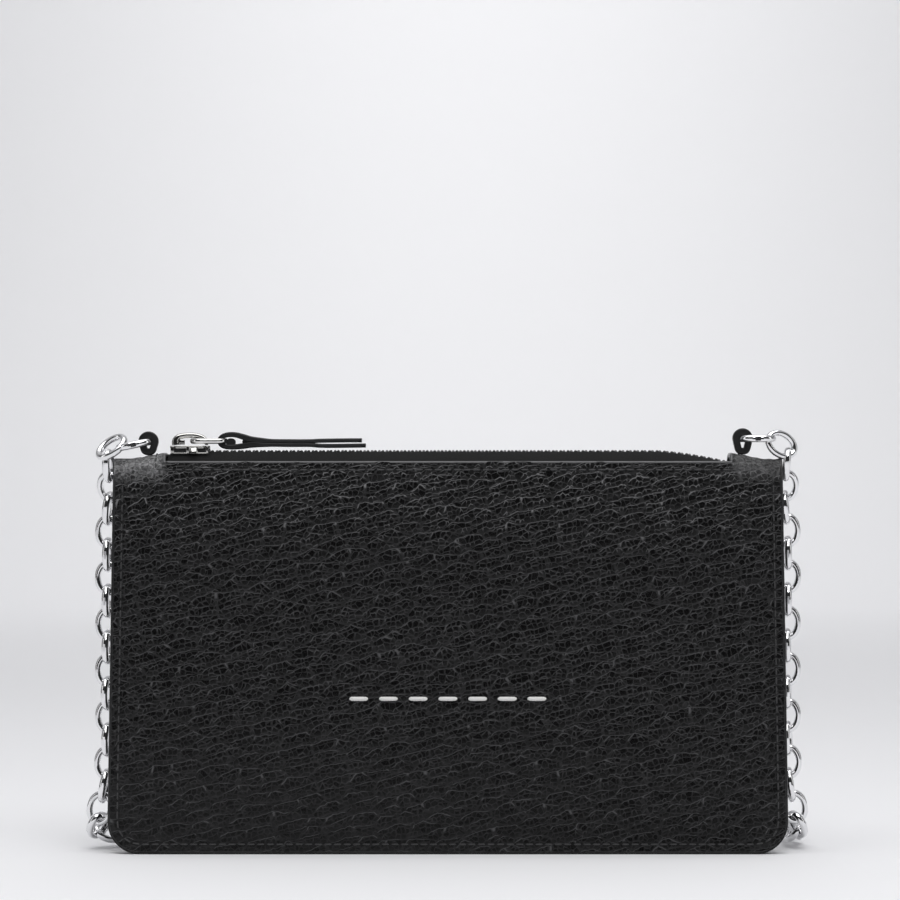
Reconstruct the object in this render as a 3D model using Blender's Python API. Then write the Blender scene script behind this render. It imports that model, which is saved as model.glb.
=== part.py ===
"""Chain wallet: a leather wallet with a zip along its top and a chain shoulder strap.

The origin is on the surface that the wallet stands on, under the middle of the wallet. +X is to the
right of someone who faces the front, +Y runs from the front to the back, and +Z is up. Sizes are in
metres and angles are in radians.
"""

import math

import bmesh
import bpy
from mathutils import Vector

# ---------------------------------------------------------------- driving dimensions

# Outer leather: one hide, folded over the top, with a slot for the zip in the fold
WIDTH_AT_BASE = 0.1916
WIDTH_AT_TOP = 0.1880
TOP = 0.1127                    # height of the fold beside the slot
SHOULDER_TOP = 0.1111           # height of the fold near the outer ends
CORNER_RADIUS = 0.0090          # the two bottom corners
DEPTH = 0.0140                  # front to back where the wallet is fullest
SEAM_DEPTH = 0.0047             # front to back at the stitched edges
SEAM_MARGIN = 0.0030            # flat border that holds the stitching
SIDE_RISE = 0.0180              # distance in which the panels swell from the side seams
BASE_RISE = 0.0450              # and from the bottom seam
LEATHER = 0.0014
FOLD_RISE = 0.0051              # height of the curved top above the flat walls, along the slot
FOLD_RISE_AT_END = 0.0027
SLOT_HALF_LENGTH = 0.0793
SLOT_EDGE_ANGLE = math.radians(31.5)    # how far the leather curves over before the slot cuts it
FOLD_SQUARENESS = 0.30          # power of the curve beside the slot, where the leather stands up
ROUND_FROM = 0.0785             # beyond this place the fold turns into a plain round one
ROUND_LENGTH = 0.0030

# Inner sheets
GAP = 0.0003                    # clearance between pieces that touch
LINING = 0.0005
LINING_TOP = 0.1035
CARD_PANEL_TOPS = {"card_panel": 0.098, "card_pocket_rear": 0.086,
                   "card_pocket_middle": 0.074, "card_pocket_front": 0.062}
SLIP_POCKET_TOP = 0.070
POCKET_BASE = 0.022
POCKET_HALF_WIDTH = 0.078

# Zip
TAPE = 0.0005
TAPE_FOOT = 0.1040              # lower edge of the tape, inside the wallet
TAPE_HALF_LENGTH = 0.0825
TAPE_EDGE_Y = 0.0032            # from the middle of the zip to the tape's inner edge, at the teeth
TAPE_MEETING_Y = 0.0004         # and beyond the teeth, where the two tapes meet
TAPE_EDGE_HEIGHT = 0.1130
LEFT_DROP = (-0.0773, -0.0800, 0.0038)  # where the zip starts to come down to go under the shoulder,
RIGHT_DROP = (0.0583, 0.0815, 0.0037)   # where it ends, and how far down it is there
TOOTH_PITCH = 0.00208
TEETH_OUTER_Y = 0.00245
TEETH_ROOT_Y = 0.0015
TEETH_TIP_Y = 0.0005
TEETH_BOTTOM = 0.1118
TEETH_TOP = 0.1135
TEETH_START = -0.0770
TEETH_END = 0.0817
STOP_SIZE = Vector((0.0014, 0.0030, 0.0012))
TOP_STOP = Vector((-0.0785, 0.0, 0.1117))
BOTTOM_STOP = Vector((0.0815, 0.0, 0.1099))

# Slider, its ring and the leather puller
SLIDER_LEFT = -0.0780
SLIDER_LENGTH = 0.0112
SLIDER_HALF_WIDTH = 0.0043
SLIDER_PLATE_BOTTOM = 0.1139
SLIDER_PLATE_TOP = 0.1147
BRIDGE_TOP = 0.1184
BRIDGE_BAR = 0.00115
BRIDGE_HALF_WIDTH = 0.0010
RING_LENGTH = 0.0106
RING_WIDTH = 0.0080
RING_WIRE = 0.0013
RING_PIVOT = Vector((-0.0718, 0.0, 0.1160))
PULLER_LAYER = 0.0011
PULLER_LENGTH = 0.0403
PULLER_HALF_WIDTH = 0.0032
PULLER_LOOP_HALF_WIDTH = 0.0020

# Leather loops that carry the chain, and the first link at each end of it
LOOP_STRAP = 0.0015
LOOP_HALF_WIDTH = 0.0014
LOOP_OUTER_RADIUS = 0.0028
LEFT_LOOP_X = -0.0842
LEFT_LOOP_FOOT = 0.1126
LEFT_LOOP_TOP = 0.1187
RIGHT_LOOP_X = 0.0829
RIGHT_LOOP_FOOT = 0.1128
RIGHT_LOOP_TOP = 0.1196
END_LINK_LENGTH = 0.0108
END_LINK_WIDTH = 0.0082
LINK_BAR = 0.0018               # across the ring
LINK_THICKNESS = 0.0021
LEFT_LINK_PIVOT = Vector((-0.0838, 0.0, 0.1159))
RIGHT_LINK_PIVOT = Vector((0.0825, 0.0, 0.1167))
LEFT_LINK_TILT = math.radians(12.0)

# Chain strap: down both sides of the wallet, and folded into a hank on the surface behind it
CHAIN_DIAMETER = 0.0080
CHAIN_POINT_SPACING = 0.0085
HANK_HALF_LENGTH = 0.0865
HANK_FRONT = 0.0123
HANK_BACK = 0.0807
HANK_CORNER = 0.0080
CHAIN_DOWN_RIGHT = [
    (0.0980, 0.0002, 0.1175), (0.0984, 0.0012, 0.1140), (0.0986, 0.0035, 0.1095),
    (0.0983, 0.0058, 0.1045), (0.0977, 0.0071, 0.0980), (0.0974, 0.0074, 0.0880),
    (0.0973, 0.0074, 0.0700), (0.0973, 0.0074, 0.0500), (0.0974, 0.0074, 0.0300),
    (0.0977, 0.0075, 0.0190), (0.0985, 0.0080, 0.0115), (0.0994, 0.0103, 0.0065),
    (0.0997, 0.0150, 0.0045), (0.0990, 0.0240, 0.0042), (0.0975, 0.0400, 0.0042),
    (0.0978, 0.0560, 0.0042), (0.0980, 0.0670, 0.0042), (0.0945, 0.0745, 0.0042),
    (0.0884, 0.0760, 0.0042),
]
CHAIN_DOWN_LEFT = [
    (-0.0980, 0.0002, 0.1165), (-0.0984, 0.0012, 0.1130), (-0.0986, 0.0035, 0.1085),
    (-0.0983, 0.0058, 0.1035), (-0.0977, 0.0071, 0.0970), (-0.0974, 0.0074, 0.0870),
    (-0.0973, 0.0074, 0.0700), (-0.0973, 0.0074, 0.0500), (-0.0974, 0.0074, 0.0300),
    (-0.0978, 0.0075, 0.0190), (-0.0988, 0.0078, 0.0115), (-0.0998, 0.0095, 0.0065),
    (-0.0990, 0.0135, 0.0046), (-0.0945, 0.0172, 0.0042), (-0.0876, 0.0175, 0.0042),
]

# Colour, roughness and metallic value of each material
MATERIALS = {
    "black_leather": ((0.020, 0.020, 0.021, 1.0), 0.55, 0.0),
    "black_lining": ((0.025, 0.025, 0.026, 1.0), 0.85, 0.0),
    "zip_tape": ((0.015, 0.015, 0.016, 1.0), 0.90, 0.0),
    "zip_teeth": ((0.030, 0.030, 0.032, 1.0), 0.40, 0.2),
    "polished_steel": ((0.800, 0.800, 0.810, 1.0), 0.12, 1.0),
}


# ---------------------------------------------------------------- helpers

def clear_scene():
    for old in list(bpy.data.objects):
        bpy.data.objects.remove(old, do_unlink=True)


def material(name):
    """The named material, made the first time that it is asked for."""
    found = bpy.data.materials.get(name)
    if found:
        return found
    colour, roughness, metallic = MATERIALS[name]
    made = bpy.data.materials.new(name)
    made.use_nodes = True
    shader = made.node_tree.nodes["Principled BSDF"]
    shader.inputs["Base Color"].default_value = colour
    shader.inputs["Roughness"].default_value = roughness
    shader.inputs["Metallic"].default_value = metallic
    made.diffuse_color = colour
    return made


def finish_object(name, bm, material_name, smooth_angle=None):
    """Turn a bmesh into a named object of one material, with its faces pointing out."""
    bmesh.ops.recalc_face_normals(bm, faces=bm.faces[:])
    mesh = bpy.data.meshes.new(name)
    bm.to_mesh(mesh)
    bm.free()
    mesh.materials.append(material(material_name))
    if smooth_angle is not None:
        mesh.shade_smooth()
        mesh.set_sharp_from_angle(angle=smooth_angle)
    made = bpy.data.objects.new(name, mesh)
    bpy.context.collection.objects.link(made)
    return made


def empty_at(name, place, parent=None):
    """An empty that marks a joint's axis, at a place given in the wallet's frame."""
    pivot = bpy.data.objects.new(name, None)
    pivot.empty_display_size = 0.004
    bpy.context.collection.objects.link(pivot)
    attach(pivot, parent, place)
    return pivot


def world_place(thing):
    """Where an object's origin is, from its own and its parents' locations."""
    place = Vector((0.0, 0.0, 0.0))
    while thing:
        place += thing.location
        thing = thing.parent
    return place


def attach(thing, parent, place):
    """Parent an object and put its origin at a place in the wallet's frame."""
    thing.parent = parent
    thing.location = Vector(place) - world_place(parent)


def clamp(value):
    return max(0.0, min(1.0, value))


def ease_out(value):
    """0 to 1, fast at first and level at the end."""
    return 1.0 - (1.0 - clamp(value)) ** 2


def smooth_step(value):
    value = clamp(value)
    return value * value * (3.0 - 2.0 * value)


def mix(low, high, part):
    return low + (high - low) * part


def thick_sheet(name, outer, inner, material_name, is_open=None):
    """A sheet between two grids of points. is_open(row, column) marks cells that are cut away."""
    rows = len(outer) - 1
    columns = len(outer[0]) - 1
    bm = bmesh.new()
    made = {}

    def vertex(layer, row, column):
        key = (layer, row, column)
        if key not in made:
            made[key] = bm.verts.new((outer, inner)[layer][row][column])
        return made[key]

    def present(row, column):
        inside = 0 <= row < rows and 0 <= column < columns
        return inside and not (is_open and is_open(row, column))

    for row in range(rows):
        for column in range(columns):
            if not present(row, column):
                continue
            corners = [(row, column), (row, column + 1), (row + 1, column + 1), (row + 1, column)]
            for layer in (0, 1):
                bm.faces.new([vertex(layer, *corner) for corner in corners])
            neighbours = [(row - 1, column), (row, column + 1), (row + 1, column), (row, column - 1)]
            for side, neighbour in enumerate(neighbours):
                if present(*neighbour):
                    continue
                first = corners[side]
                second = corners[(side + 1) % 4]
                bm.faces.new([vertex(0, *first), vertex(0, *second),
                              vertex(1, *second), vertex(1, *first)])
    return finish_object(name, bm, material_name, smooth_angle=math.radians(40))


def prism(name, outline, along, low, high, material_name):
    """An outline pulled straight from low to high along "x", "y" or "z"."""
    def point(pair, reach):
        first, second = pair
        order = {"x": (reach, first, second), "y": (first, reach, second), "z": (first, second, reach)}
        return order[along]

    bm = bmesh.new()
    ends = [[bm.verts.new(point(pair, reach)) for pair in outline] for reach in (low, high)]
    bm.faces.new(ends[0])
    bm.faces.new(ends[1])
    for index in range(len(outline)):
        after = (index + 1) % len(outline)
        bm.faces.new([ends[0][index], ends[0][after], ends[1][after], ends[1][index]])
    bmesh.ops.triangulate(bm, faces=[face for face in bm.faces if len(face.verts) > 4])
    return finish_object(name, bm, material_name)


def box(name, low, high, material_name):
    outline = [(low[0], low[1]), (high[0], low[1]), (high[0], high[1]), (low[0], high[1])]
    return prism(name, outline, "z", low[2], high[2], material_name)


def union(base, others):
    """Join other solids to a base solid with Boolean unions, and keep them as hidden cutters."""
    for other in others:
        other.hide_render = True
        other.display_type = "WIRE"
        joined = base.modifiers.new("join_" + other.name, "BOOLEAN")
        joined.operation = "UNION"
        joined.solver = "EXACT"
        joined.object = other
    return base


def sections_to_solid(name, sections, closed, material_name):
    """Skin a row of equal rings of points, with caps at the ends unless the row closes on itself."""
    bm = bmesh.new()
    rings = [[bm.verts.new(point) for point in section] for section in sections]
    count = len(rings[0])
    spans = len(rings) if closed else len(rings) - 1
    for index in range(spans):
        here = rings[index]
        there = rings[(index + 1) % len(rings)]
        for side in range(count):
            after = (side + 1) % count
            bm.faces.new([here[side], here[after], there[after], there[side]])
    if not closed:
        bm.faces.new(rings[0])
        bm.faces.new(rings[-1])
    return finish_object(name, bm, material_name, smooth_angle=math.radians(50))


def strap(name, path, thickness, half_width_at, closed, material_name):
    """A strap of leather whose middle follows a path of (x, z) points, with its width along Y."""
    count = len(path)
    sections = []
    for index, (x, z) in enumerate(path):
        before = path[(index - 1) % count] if closed or index else path[0]
        after = path[(index + 1) % count] if closed or index < count - 1 else path[-1]
        run = Vector((after[0] - before[0], after[1] - before[1])).normalized()
        side = Vector((-run.y, run.x)) * thickness / 2
        half_width = half_width_at(x)
        sections.append([
            (x + side.x, -half_width, z + side.y), (x + side.x, half_width, z + side.y),
            (x - side.x, half_width, z - side.y), (x - side.x, -half_width, z - side.y)])
    return sections_to_solid(name, sections, closed, material_name)


def wire_ring(name, path, bar, thickness, material_name, sides=8):
    """A closed ring of wire that lies flat. path holds its middle's (x, y) points."""
    count = len(path)
    sections = []
    for index, (x, y) in enumerate(path):
        before = Vector(path[index - 1])
        after = Vector(path[(index + 1) % count])
        run = (after - before).normalized()
        section = []
        for step in range(sides):
            angle = 2 * math.pi * (step + 0.5) / sides
            across = math.cos(angle) * bar / 2
            up = math.sin(angle) * thickness / 2
            section.append((x - run.y * across, y + run.x * across, up))
        sections.append(section)
    return sections_to_solid(name, sections, True, material_name)


def smooth_route(points, spacing):
    """Points about a spacing apart on one smooth curve through the given points."""
    points = [Vector(point) for point in points]
    padded = [2 * points[0] - points[1]] + points + [2 * points[-1] - points[-2]]
    fine = []
    steps = 24
    for index in range(1, len(padded) - 2):
        a, b, c, d = padded[index - 1:index + 3]
        for step in range(steps):
            t = step / steps
            fine.append(0.5 * (2 * b + (c - a) * t + (2 * a - 5 * b + 4 * c - d) * t * t
                               + (3 * b - a - 3 * c + d) * t ** 3))
    fine.append(points[-1])
    length = sum((fine[i + 1] - fine[i]).length for i in range(len(fine) - 1))
    wanted = [length * i / round(length / spacing) for i in range(round(length / spacing) + 1)]
    route = []
    travelled = 0.0
    index = 0
    for distance in wanted:
        while index < len(fine) - 2 and travelled + (fine[index + 1] - fine[index]).length < distance:
            travelled += (fine[index + 1] - fine[index]).length
            index += 1
        step = fine[index + 1] - fine[index]
        route.append(fine[index] + step * clamp((distance - travelled) / step.length))
    return route


# ---------------------------------------------------------------- the wallet's own shape

def half_width(z):
    """Half the wallet's width at a height, with the rounded bottom corners."""
    width = mix(WIDTH_AT_BASE, WIDTH_AT_TOP, clamp(z / TOP)) / 2
    if z < CORNER_RADIUS:
        drop = CORNER_RADIUS - z
        width -= CORNER_RADIUS - math.sqrt(CORNER_RADIUS ** 2 - drop ** 2)
    return width


def half_depth(x, z):
    """Half the distance from front to back of the outer leather, at a place on its walls."""
    from_side = ease_out((half_width(z) - abs(x) - SEAM_MARGIN) / SIDE_RISE)
    from_base = ease_out((z - SEAM_MARGIN) / BASE_RISE)
    return SEAM_DEPTH / 2 + (DEPTH - SEAM_DEPTH) / 2 * from_side * from_base


def shoulder_part(x):
    """0 beside the slot, 1 at the outer end of a shoulder."""
    return clamp((abs(x) - SLOT_HALF_LENGTH) / (WIDTH_AT_TOP / 2 - SLOT_HALF_LENGTH))


def fold_top(x):
    return mix(TOP, SHOULDER_TOP, smooth_step(shoulder_part(x) / 0.7))


def fold_rise(x):
    return mix(FOLD_RISE, FOLD_RISE_AT_END, shoulder_part(x))


def wall_point(x, z, inset, side):
    """A point on the front (side -1) or back (side 1) wall, an inset below its outer surface."""
    return Vector((x, side * (half_depth(x, z) - inset), z))


def fold_point(x, angle, inset):
    """A point on the curved top. The angle runs from 0 at the front wall to pi at the back wall."""
    rise = fold_rise(x)
    base = fold_top(x) - rise
    power = mix(FOLD_SQUARENESS, 1.0, smooth_step((abs(x) - ROUND_FROM) / ROUND_LENGTH))
    reach = math.copysign(abs(math.cos(angle)) ** power, math.cos(angle))
    y = -(half_depth(x, base) - inset) * reach
    z = base + (rise - inset) * math.sin(angle)
    return Vector((x, y, z))


def make_outer_leather():
    wall_levels = [0.0, 0.0006, 0.0018, 0.004, 0.009, 0.015, 0.023, 0.034, 0.049, 0.075]
    slot_column = SLOT_HALF_LENGTH / (WIDTH_AT_TOP / 2)
    right = [0.0, 0.3, 0.6, slot_column - 0.055, slot_column, 0.89, 0.925, 0.966, 1.0]
    columns = [-place for place in reversed(right[1:])] + right
    quarter = [0.0, SLOT_EDGE_ANGLE / 2, SLOT_EDGE_ANGLE, math.radians(62), math.pi / 2]
    angles = quarter + [math.pi - angle for angle in reversed(quarter[:-1])]

    def grid(inset):
        front = [[wall_point(part * half_width(z), z, inset, -1) for part in columns]
                 for z in wall_levels]
        fold = [[fold_point(part * WIDTH_AT_TOP / 2, angle, inset) for part in columns]
                for angle in angles]
        back = [[wall_point(part * half_width(z), z, inset, 1) for part in columns]
                for z in reversed(wall_levels)]
        return front + fold + back

    first_open_row = len(wall_levels) + 2
    last_open_row = len(wall_levels) + len(angles) - 4
    first_open_column = columns.index(-slot_column)
    last_open_column = columns.index(slot_column) - 1

    def in_slot(row, column):
        across = first_open_column <= column <= last_open_column
        return across and first_open_row <= row <= last_open_row

    thick_sheet("outer_leather", grid(0.0), grid(LEATHER), "black_leather", in_slot)


def make_linings():
    """A lining sheet inside each wall, sewn in with the outer leather along three edges."""
    levels = [0.0015, 0.0035, 0.009, 0.016, 0.026, 0.038, 0.049, 0.075, LINING_TOP]
    parts = [-1.0, -0.965, -0.92, -0.86, -0.78, -0.4, 0.0, 0.4, 0.78, 0.86, 0.92, 0.965, 1.0]
    edge_inset = 0.0004
    for name, side in (("front_lining", -1), ("back_lining", 1)):
        outer, inner = [
            [[wall_point(part * (half_width(z) - edge_inset), z, inset, side) for part in parts]
             for z in levels]
            for inset in (LEATHER + GAP, LEATHER + GAP + LINING)]
        thick_sheet(name, outer, inner, "black_lining")


def make_pockets():
    """Card pockets stepped in front of one another on the back lining, and one slip pocket."""
    parts = [-1.0, -0.88, -0.5, 0.0, 0.5, 0.88, 1.0]

    def pocket(name, side, inset, top):
        levels = [POCKET_BASE, 0.030, 0.040, 0.049, top]
        outer, inner = [
            [[wall_point(part * POCKET_HALF_WIDTH, z, depth, side) for part in parts]
             for z in levels]
            for depth in (inset, inset + LINING)]
        thick_sheet(name, outer, inner, "black_lining")

    first = LEATHER + GAP + LINING + GAP
    for order, (name, top) in enumerate(CARD_PANEL_TOPS.items()):
        pocket(name, 1, first + order * (LINING + GAP), top)
    pocket("slip_pocket", -1, first, SLIP_POCKET_TOP)


# ---------------------------------------------------------------- zip

def zip_drop(x):
    """How far the zip has come down at x: quickly at its left end, and gently at its right end."""
    start, end, depth = LEFT_DROP if x < 0.0 else RIGHT_DROP
    part = clamp((x - start) / (end - start))
    return depth * (smooth_step(part) if x < 0.0 else part ** 1.5)


def tape_edge_reach(x):
    """From the middle of the zip to the tape's inner edge. The tapes close up left of the teeth."""
    closing = 0.0030
    return mix(TAPE_EDGE_Y, TAPE_MEETING_Y, clamp((TEETH_START - 0.0002 - x) / closing))


def make_tapes():
    stations = [-TAPE_HALF_LENGTH, -0.0810, LEFT_DROP[1], -0.0793, -0.0786, -0.0780, LEFT_DROP[0],
                -0.0300, 0.0200, RIGHT_DROP[0], 0.0620, 0.0650, 0.0680, 0.0710, 0.0740, 0.0770, 0.0785,
                RIGHT_DROP[1], TAPE_HALF_LENGTH]

    def profile(x, side, depth):
        inset = LEATHER + GAP + depth
        foot = fold_point(x, 0.0, inset)
        points = [(-foot.y, TAPE_FOOT), (-foot.y, foot.z)]
        for angle in (SLOT_EDGE_ANGLE / 2, SLOT_EDGE_ANGLE):
            under_leather = fold_point(x, angle, inset)
            points.append((-under_leather.y, under_leather.z))
        edge = max(tape_edge_reach(x) - depth * 0.86, TAPE_MEETING_Y / 2)
        points.append((edge, TAPE_EDGE_HEIGHT - zip_drop(x) - depth * 0.5))
        return [Vector((x, side * y, z)) for y, z in points]

    for name, side in (("zip_tape_front", -1), ("zip_tape_back", 1)):
        outer = [profile(x, side, 0.0) for x in stations]
        inner = [profile(x, side, TAPE) for x in stations]
        thick_sheet(name, outer, inner, "zip_tape")


def make_teeth():
    """Two combs of teeth, half a pitch apart, with a channel between them for the slider's post."""
    count = int((TEETH_END - TEETH_START) / TOOTH_PITCH) - 1
    for name, side, shift in (("zip_teeth_front", -1, 0.0), ("zip_teeth_back", 1, TOOTH_PITCH / 2)):
        stations = [TEETH_START + shift + TOOTH_PITCH / 2 * step for step in range(2 * count)]
        top, bottom = [
            [[(x, side * y, z - zip_drop(max(x, 0.0))) for x in stations]
             for y in (TEETH_OUTER_Y, TEETH_ROOT_Y, TEETH_TIP_Y)]
            for z in (TEETH_TOP, TEETH_BOTTOM)]
        thick_sheet(name, top, bottom, "zip_teeth", between_teeth)


def between_teeth(row, column):
    """Every second cell of the comb's inner row is a gap."""
    return row == 1 and column % 2 == 1


def make_stops():
    """The top stop is at the slot's left end, and the bottom stop is under the right shoulder."""
    for name, centre in (("zip_top_stop", TOP_STOP), ("zip_bottom_stop", BOTTOM_STOP)):
        box(name, centre - STOP_SIZE / 2, centre + STOP_SIZE / 2, "zip_teeth")


# ---------------------------------------------------------------- slider, ring and puller

def make_slider(pivot):
    """A top plate with side flanges and a bottom plate, joined by a post between the teeth."""
    left = SLIDER_LEFT
    right = SLIDER_LEFT + SLIDER_LENGTH
    nose = 0.0018
    narrow = SLIDER_HALF_WIDTH - 0.0012
    plan = [(left, -narrow), (left + nose, -SLIDER_HALF_WIDTH), (right - nose, -SLIDER_HALF_WIDTH),
            (right, -narrow), (right, narrow), (right - nose, SLIDER_HALF_WIDTH),
            (left + nose, SLIDER_HALF_WIDTH), (left, narrow)]
    body = prism("slider_body", plan, "z", SLIDER_PLATE_BOTTOM, SLIDER_PLATE_TOP, "polished_steel")
    pieces = []
    flange_low = 0.1124
    flange_inner = 0.0037
    for label, side in (("front", -1), ("back", 1)):
        ys = sorted((side * flange_inner, side * SLIDER_HALF_WIDTH))
        pieces.append(box("cutter_flange_" + label, (left + nose, ys[0], flange_low),
                          (right - nose, ys[1], SLIDER_PLATE_BOTTOM + 0.0002), "polished_steel"))
    post_half = 0.00022
    pieces.append(box("cutter_post", (right - 0.0042, -post_half, 0.1108),
                      (right - 0.0010, post_half, SLIDER_PLATE_BOTTOM + 0.0002), "polished_steel"))
    pieces.append(box("cutter_bottom_plate", (left + 0.0046, -0.0023, 0.1103),
                      (right - 0.0008, 0.0023, 0.1110), "polished_steel"))
    union(body, pieces)
    for thing in [body] + pieces:
        move_origin(thing, pivot)

    foot = SLIDER_PLATE_TOP + GAP
    bar = BRIDGE_BAR
    outer_left, outer_right = left + 0.0005, right - 0.0006
    path = [(outer_left + bar / 2, foot), (outer_left + bar / 2, foot + 0.0012),
            (outer_left + 0.0012, BRIDGE_TOP - 0.0013), (outer_left + 0.0026, BRIDGE_TOP - 0.0007),
            (outer_left + 0.0048, BRIDGE_TOP - bar / 2), (outer_right - 0.0034, BRIDGE_TOP - bar / 2),
            (outer_right - 0.0015, BRIDGE_TOP - 0.0009), (outer_right - bar / 2, BRIDGE_TOP - 0.0021),
            (outer_right - bar / 2, foot)]
    bridge = strap("slider_bridge", path, bar, lambda x: BRIDGE_HALF_WIDTH, False, "polished_steel")
    move_origin(bridge, pivot)

    lock = box("slider_lock_pin", (left + 0.0022, -0.0005, foot), (left + 0.0040, 0.0005, foot + 0.0013),
               "polished_steel")
    move_origin(lock, pivot)


def move_origin(thing, pivot):
    """Put an object's origin on a pivot without moving its shape, and parent it to that pivot."""
    place = world_place(pivot)
    for vertex in thing.data.vertices:
        vertex.co -= place
    attach(thing, pivot, place)


def make_ring(pivot):
    """A flat wire ring with round corners. Its left bar lies in the bridge, on the ring's axis."""
    half_x = (RING_LENGTH - RING_WIRE) / 2
    half_y = (RING_WIDTH - RING_WIRE) / 2
    corner = 0.00235
    path = []
    for quarter, (sign_x, sign_y) in enumerate(((1, 1), (-1, 1), (-1, -1), (1, -1))):
        for step in range(6):
            angle = math.pi / 2 * (quarter + step / 5)
            path.append((half_x + sign_x * (half_x - corner) + corner * math.cos(angle),
                         sign_y * (half_y - corner) + corner * math.sin(angle)))
    ring = wire_ring("pull_ring", path, RING_WIRE, RING_WIRE, "polished_steel")
    attach(ring, pivot, RING_PIVOT)


def puller_half_width(x):
    """Narrow where the strap goes through the ring, full width along it, and round at its tip."""
    widening = smooth_step((x - 0.0030) / 0.0070)
    tip = math.sqrt(max(0.0, 1 - clamp((x - (PULLER_LENGTH - 0.0042)) / 0.0045) ** 2))
    return mix(PULLER_LOOP_HALF_WIDTH, PULLER_HALF_WIDTH, widening) * max(tip, 0.35)


def make_puller(pivot):
    """A strap folded in half round the ring's right bar. Its two layers meet behind the loop."""
    middle = -0.0005            # behind the loop, the strap's middle is a little below the ring's
    layer = PULLER_LAYER / 2 + GAP / 2
    crown = [(0.0046, 0.0009), (0.0029, 0.00160), (0.0012, 0.00190), (-0.0003, 0.00165),
             (-0.0013, 0.00095), (-0.0017, 0.0)]
    upper = [(PULLER_LENGTH - 0.0020, middle + layer), (0.0300, middle + layer - 0.0001),
             (0.0230, middle + layer - 0.0002), (0.0160, middle + layer - 0.0001),
             (0.0110, middle + layer + 0.0001), (0.0072, middle + layer + 0.0005)]
    lower = [(0.0072, middle - layer - 0.0001), (0.0110, middle - layer), (0.0160, middle - layer - 0.0001),
             (0.0230, middle - layer - 0.0002), (0.0300, middle - layer - 0.0002),
             (PULLER_LENGTH - 0.0010, middle - layer - 0.0002)]
    under = [(x, -height) for x, height in reversed(crown[:-1])]
    under[-1] = (0.0046, -0.0015)
    path = upper + crown + under + lower
    made = strap("leather_puller", path, PULLER_LAYER, puller_half_width, False, "black_leather")
    attach(made, pivot, world_place(pivot))


# ---------------------------------------------------------------- loops and chain

def make_loop(name, centre_x, foot, top):
    """A teardrop of strap that stands on a shoulder, with its hole through it along Y."""
    radius = LOOP_OUTER_RADIUS - LOOP_STRAP / 2
    centre_z = top - LOOP_OUTER_RADIUS
    low = foot + LOOP_STRAP / 2
    path = []
    for step in range(11):
        angle = math.radians(-20 + 22 * step)
        path.append((centre_x + radius * math.cos(angle), centre_z + radius * math.sin(angle)))
    path += [(centre_x - 0.0021, mix(low, centre_z, 0.30)), (centre_x - 0.0014, low),
             (centre_x + 0.0014, low), (centre_x + 0.0021, mix(low, centre_z, 0.30))]
    strap(name, path, LOOP_STRAP, lambda x: LOOP_HALF_WIDTH, True, "black_leather")


def make_end_link(name, pivot, side, tilt):
    """The first link of the chain. Its inner bar is in the loop's hole, on the pivot."""
    reach = (END_LINK_LENGTH - LINK_BAR) / 2
    half = (END_LINK_WIDTH - LINK_BAR) / 2
    path = [(side * (reach + reach * math.cos(2 * math.pi * step / 20)),
             half * math.sin(2 * math.pi * step / 20)) for step in range(20)]
    link = wire_ring(name, path, LINK_BAR, LINK_THICKNESS, "polished_steel")
    link.rotation_euler.y = side * tilt
    attach(link, pivot, world_place(pivot))


def make_chain_tube(name, route):
    """The chain where it hangs and lies along a route, as a plain tube of its outer diameter."""
    points = smooth_route(route, CHAIN_POINT_SPACING)
    curve = bpy.data.curves.new(name, "CURVE")
    curve.dimensions = "3D"
    curve.bevel_depth = CHAIN_DIAMETER / 2
    curve.bevel_resolution = 2
    curve.use_fill_caps = True
    curve.render_resolution_u = 0
    curve.materials.append(material("polished_steel"))
    spline = curve.splines.new("POLY")
    spline.points.add(len(points) - 1)
    for slot, point in zip(spline.points, points):
        slot.co = (*point, 1.0)
    tube = bpy.data.objects.new(name, curve)
    bpy.context.collection.objects.link(tube)


def make_hank():
    """The rest of the chain, folded to and fro behind the wallet, as the hank's outer shape."""
    outline = []
    middle = (HANK_FRONT + HANK_BACK) / 2
    half_x = HANK_HALF_LENGTH - HANK_CORNER
    half_y = (HANK_BACK - HANK_FRONT) / 2 - HANK_CORNER
    for quarter, (sign_x, sign_y) in enumerate(((1, 1), (-1, 1), (-1, -1), (1, -1))):
        for step in range(5):
            angle = math.pi / 2 * (quarter + step / 4)
            outline.append((sign_x * half_x + HANK_CORNER * math.cos(angle),
                            middle + sign_y * half_y + HANK_CORNER * math.sin(angle)))
    prism("chain_hank", outline, "z", 0.0001, CHAIN_DIAMETER, "polished_steel")


# ---------------------------------------------------------------- the whole wallet

def main():
    clear_scene()
    make_outer_leather()
    make_linings()
    make_pockets()
    make_tapes()
    make_teeth()
    make_stops()

    slider_pivot = empty_at("slider_pivot", (RING_PIVOT.x, 0.0, SLIDER_PLATE_TOP))
    ring_pivot = empty_at("ring_pivot", RING_PIVOT, slider_pivot)
    puller_place = RING_PIVOT + Vector((RING_LENGTH - RING_WIRE, 0.0, 0.0))
    puller_pivot = empty_at("puller_pivot", puller_place, ring_pivot)
    make_slider(slider_pivot)
    make_ring(ring_pivot)
    make_puller(puller_pivot)

    make_loop("left_loop", LEFT_LOOP_X, LEFT_LOOP_FOOT, LEFT_LOOP_TOP)
    make_loop("right_loop", RIGHT_LOOP_X, RIGHT_LOOP_FOOT, RIGHT_LOOP_TOP)
    left_pivot = empty_at("left_link_pivot", LEFT_LINK_PIVOT)
    right_pivot = empty_at("right_link_pivot", RIGHT_LINK_PIVOT)
    make_end_link("left_end_link", left_pivot, -1, LEFT_LINK_TILT)
    make_end_link("right_end_link", right_pivot, 1, 0.0)
    make_chain_tube("chain_left", CHAIN_DOWN_LEFT)
    make_chain_tube("chain_right", CHAIN_DOWN_RIGHT)
    make_hank()


main()
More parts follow.
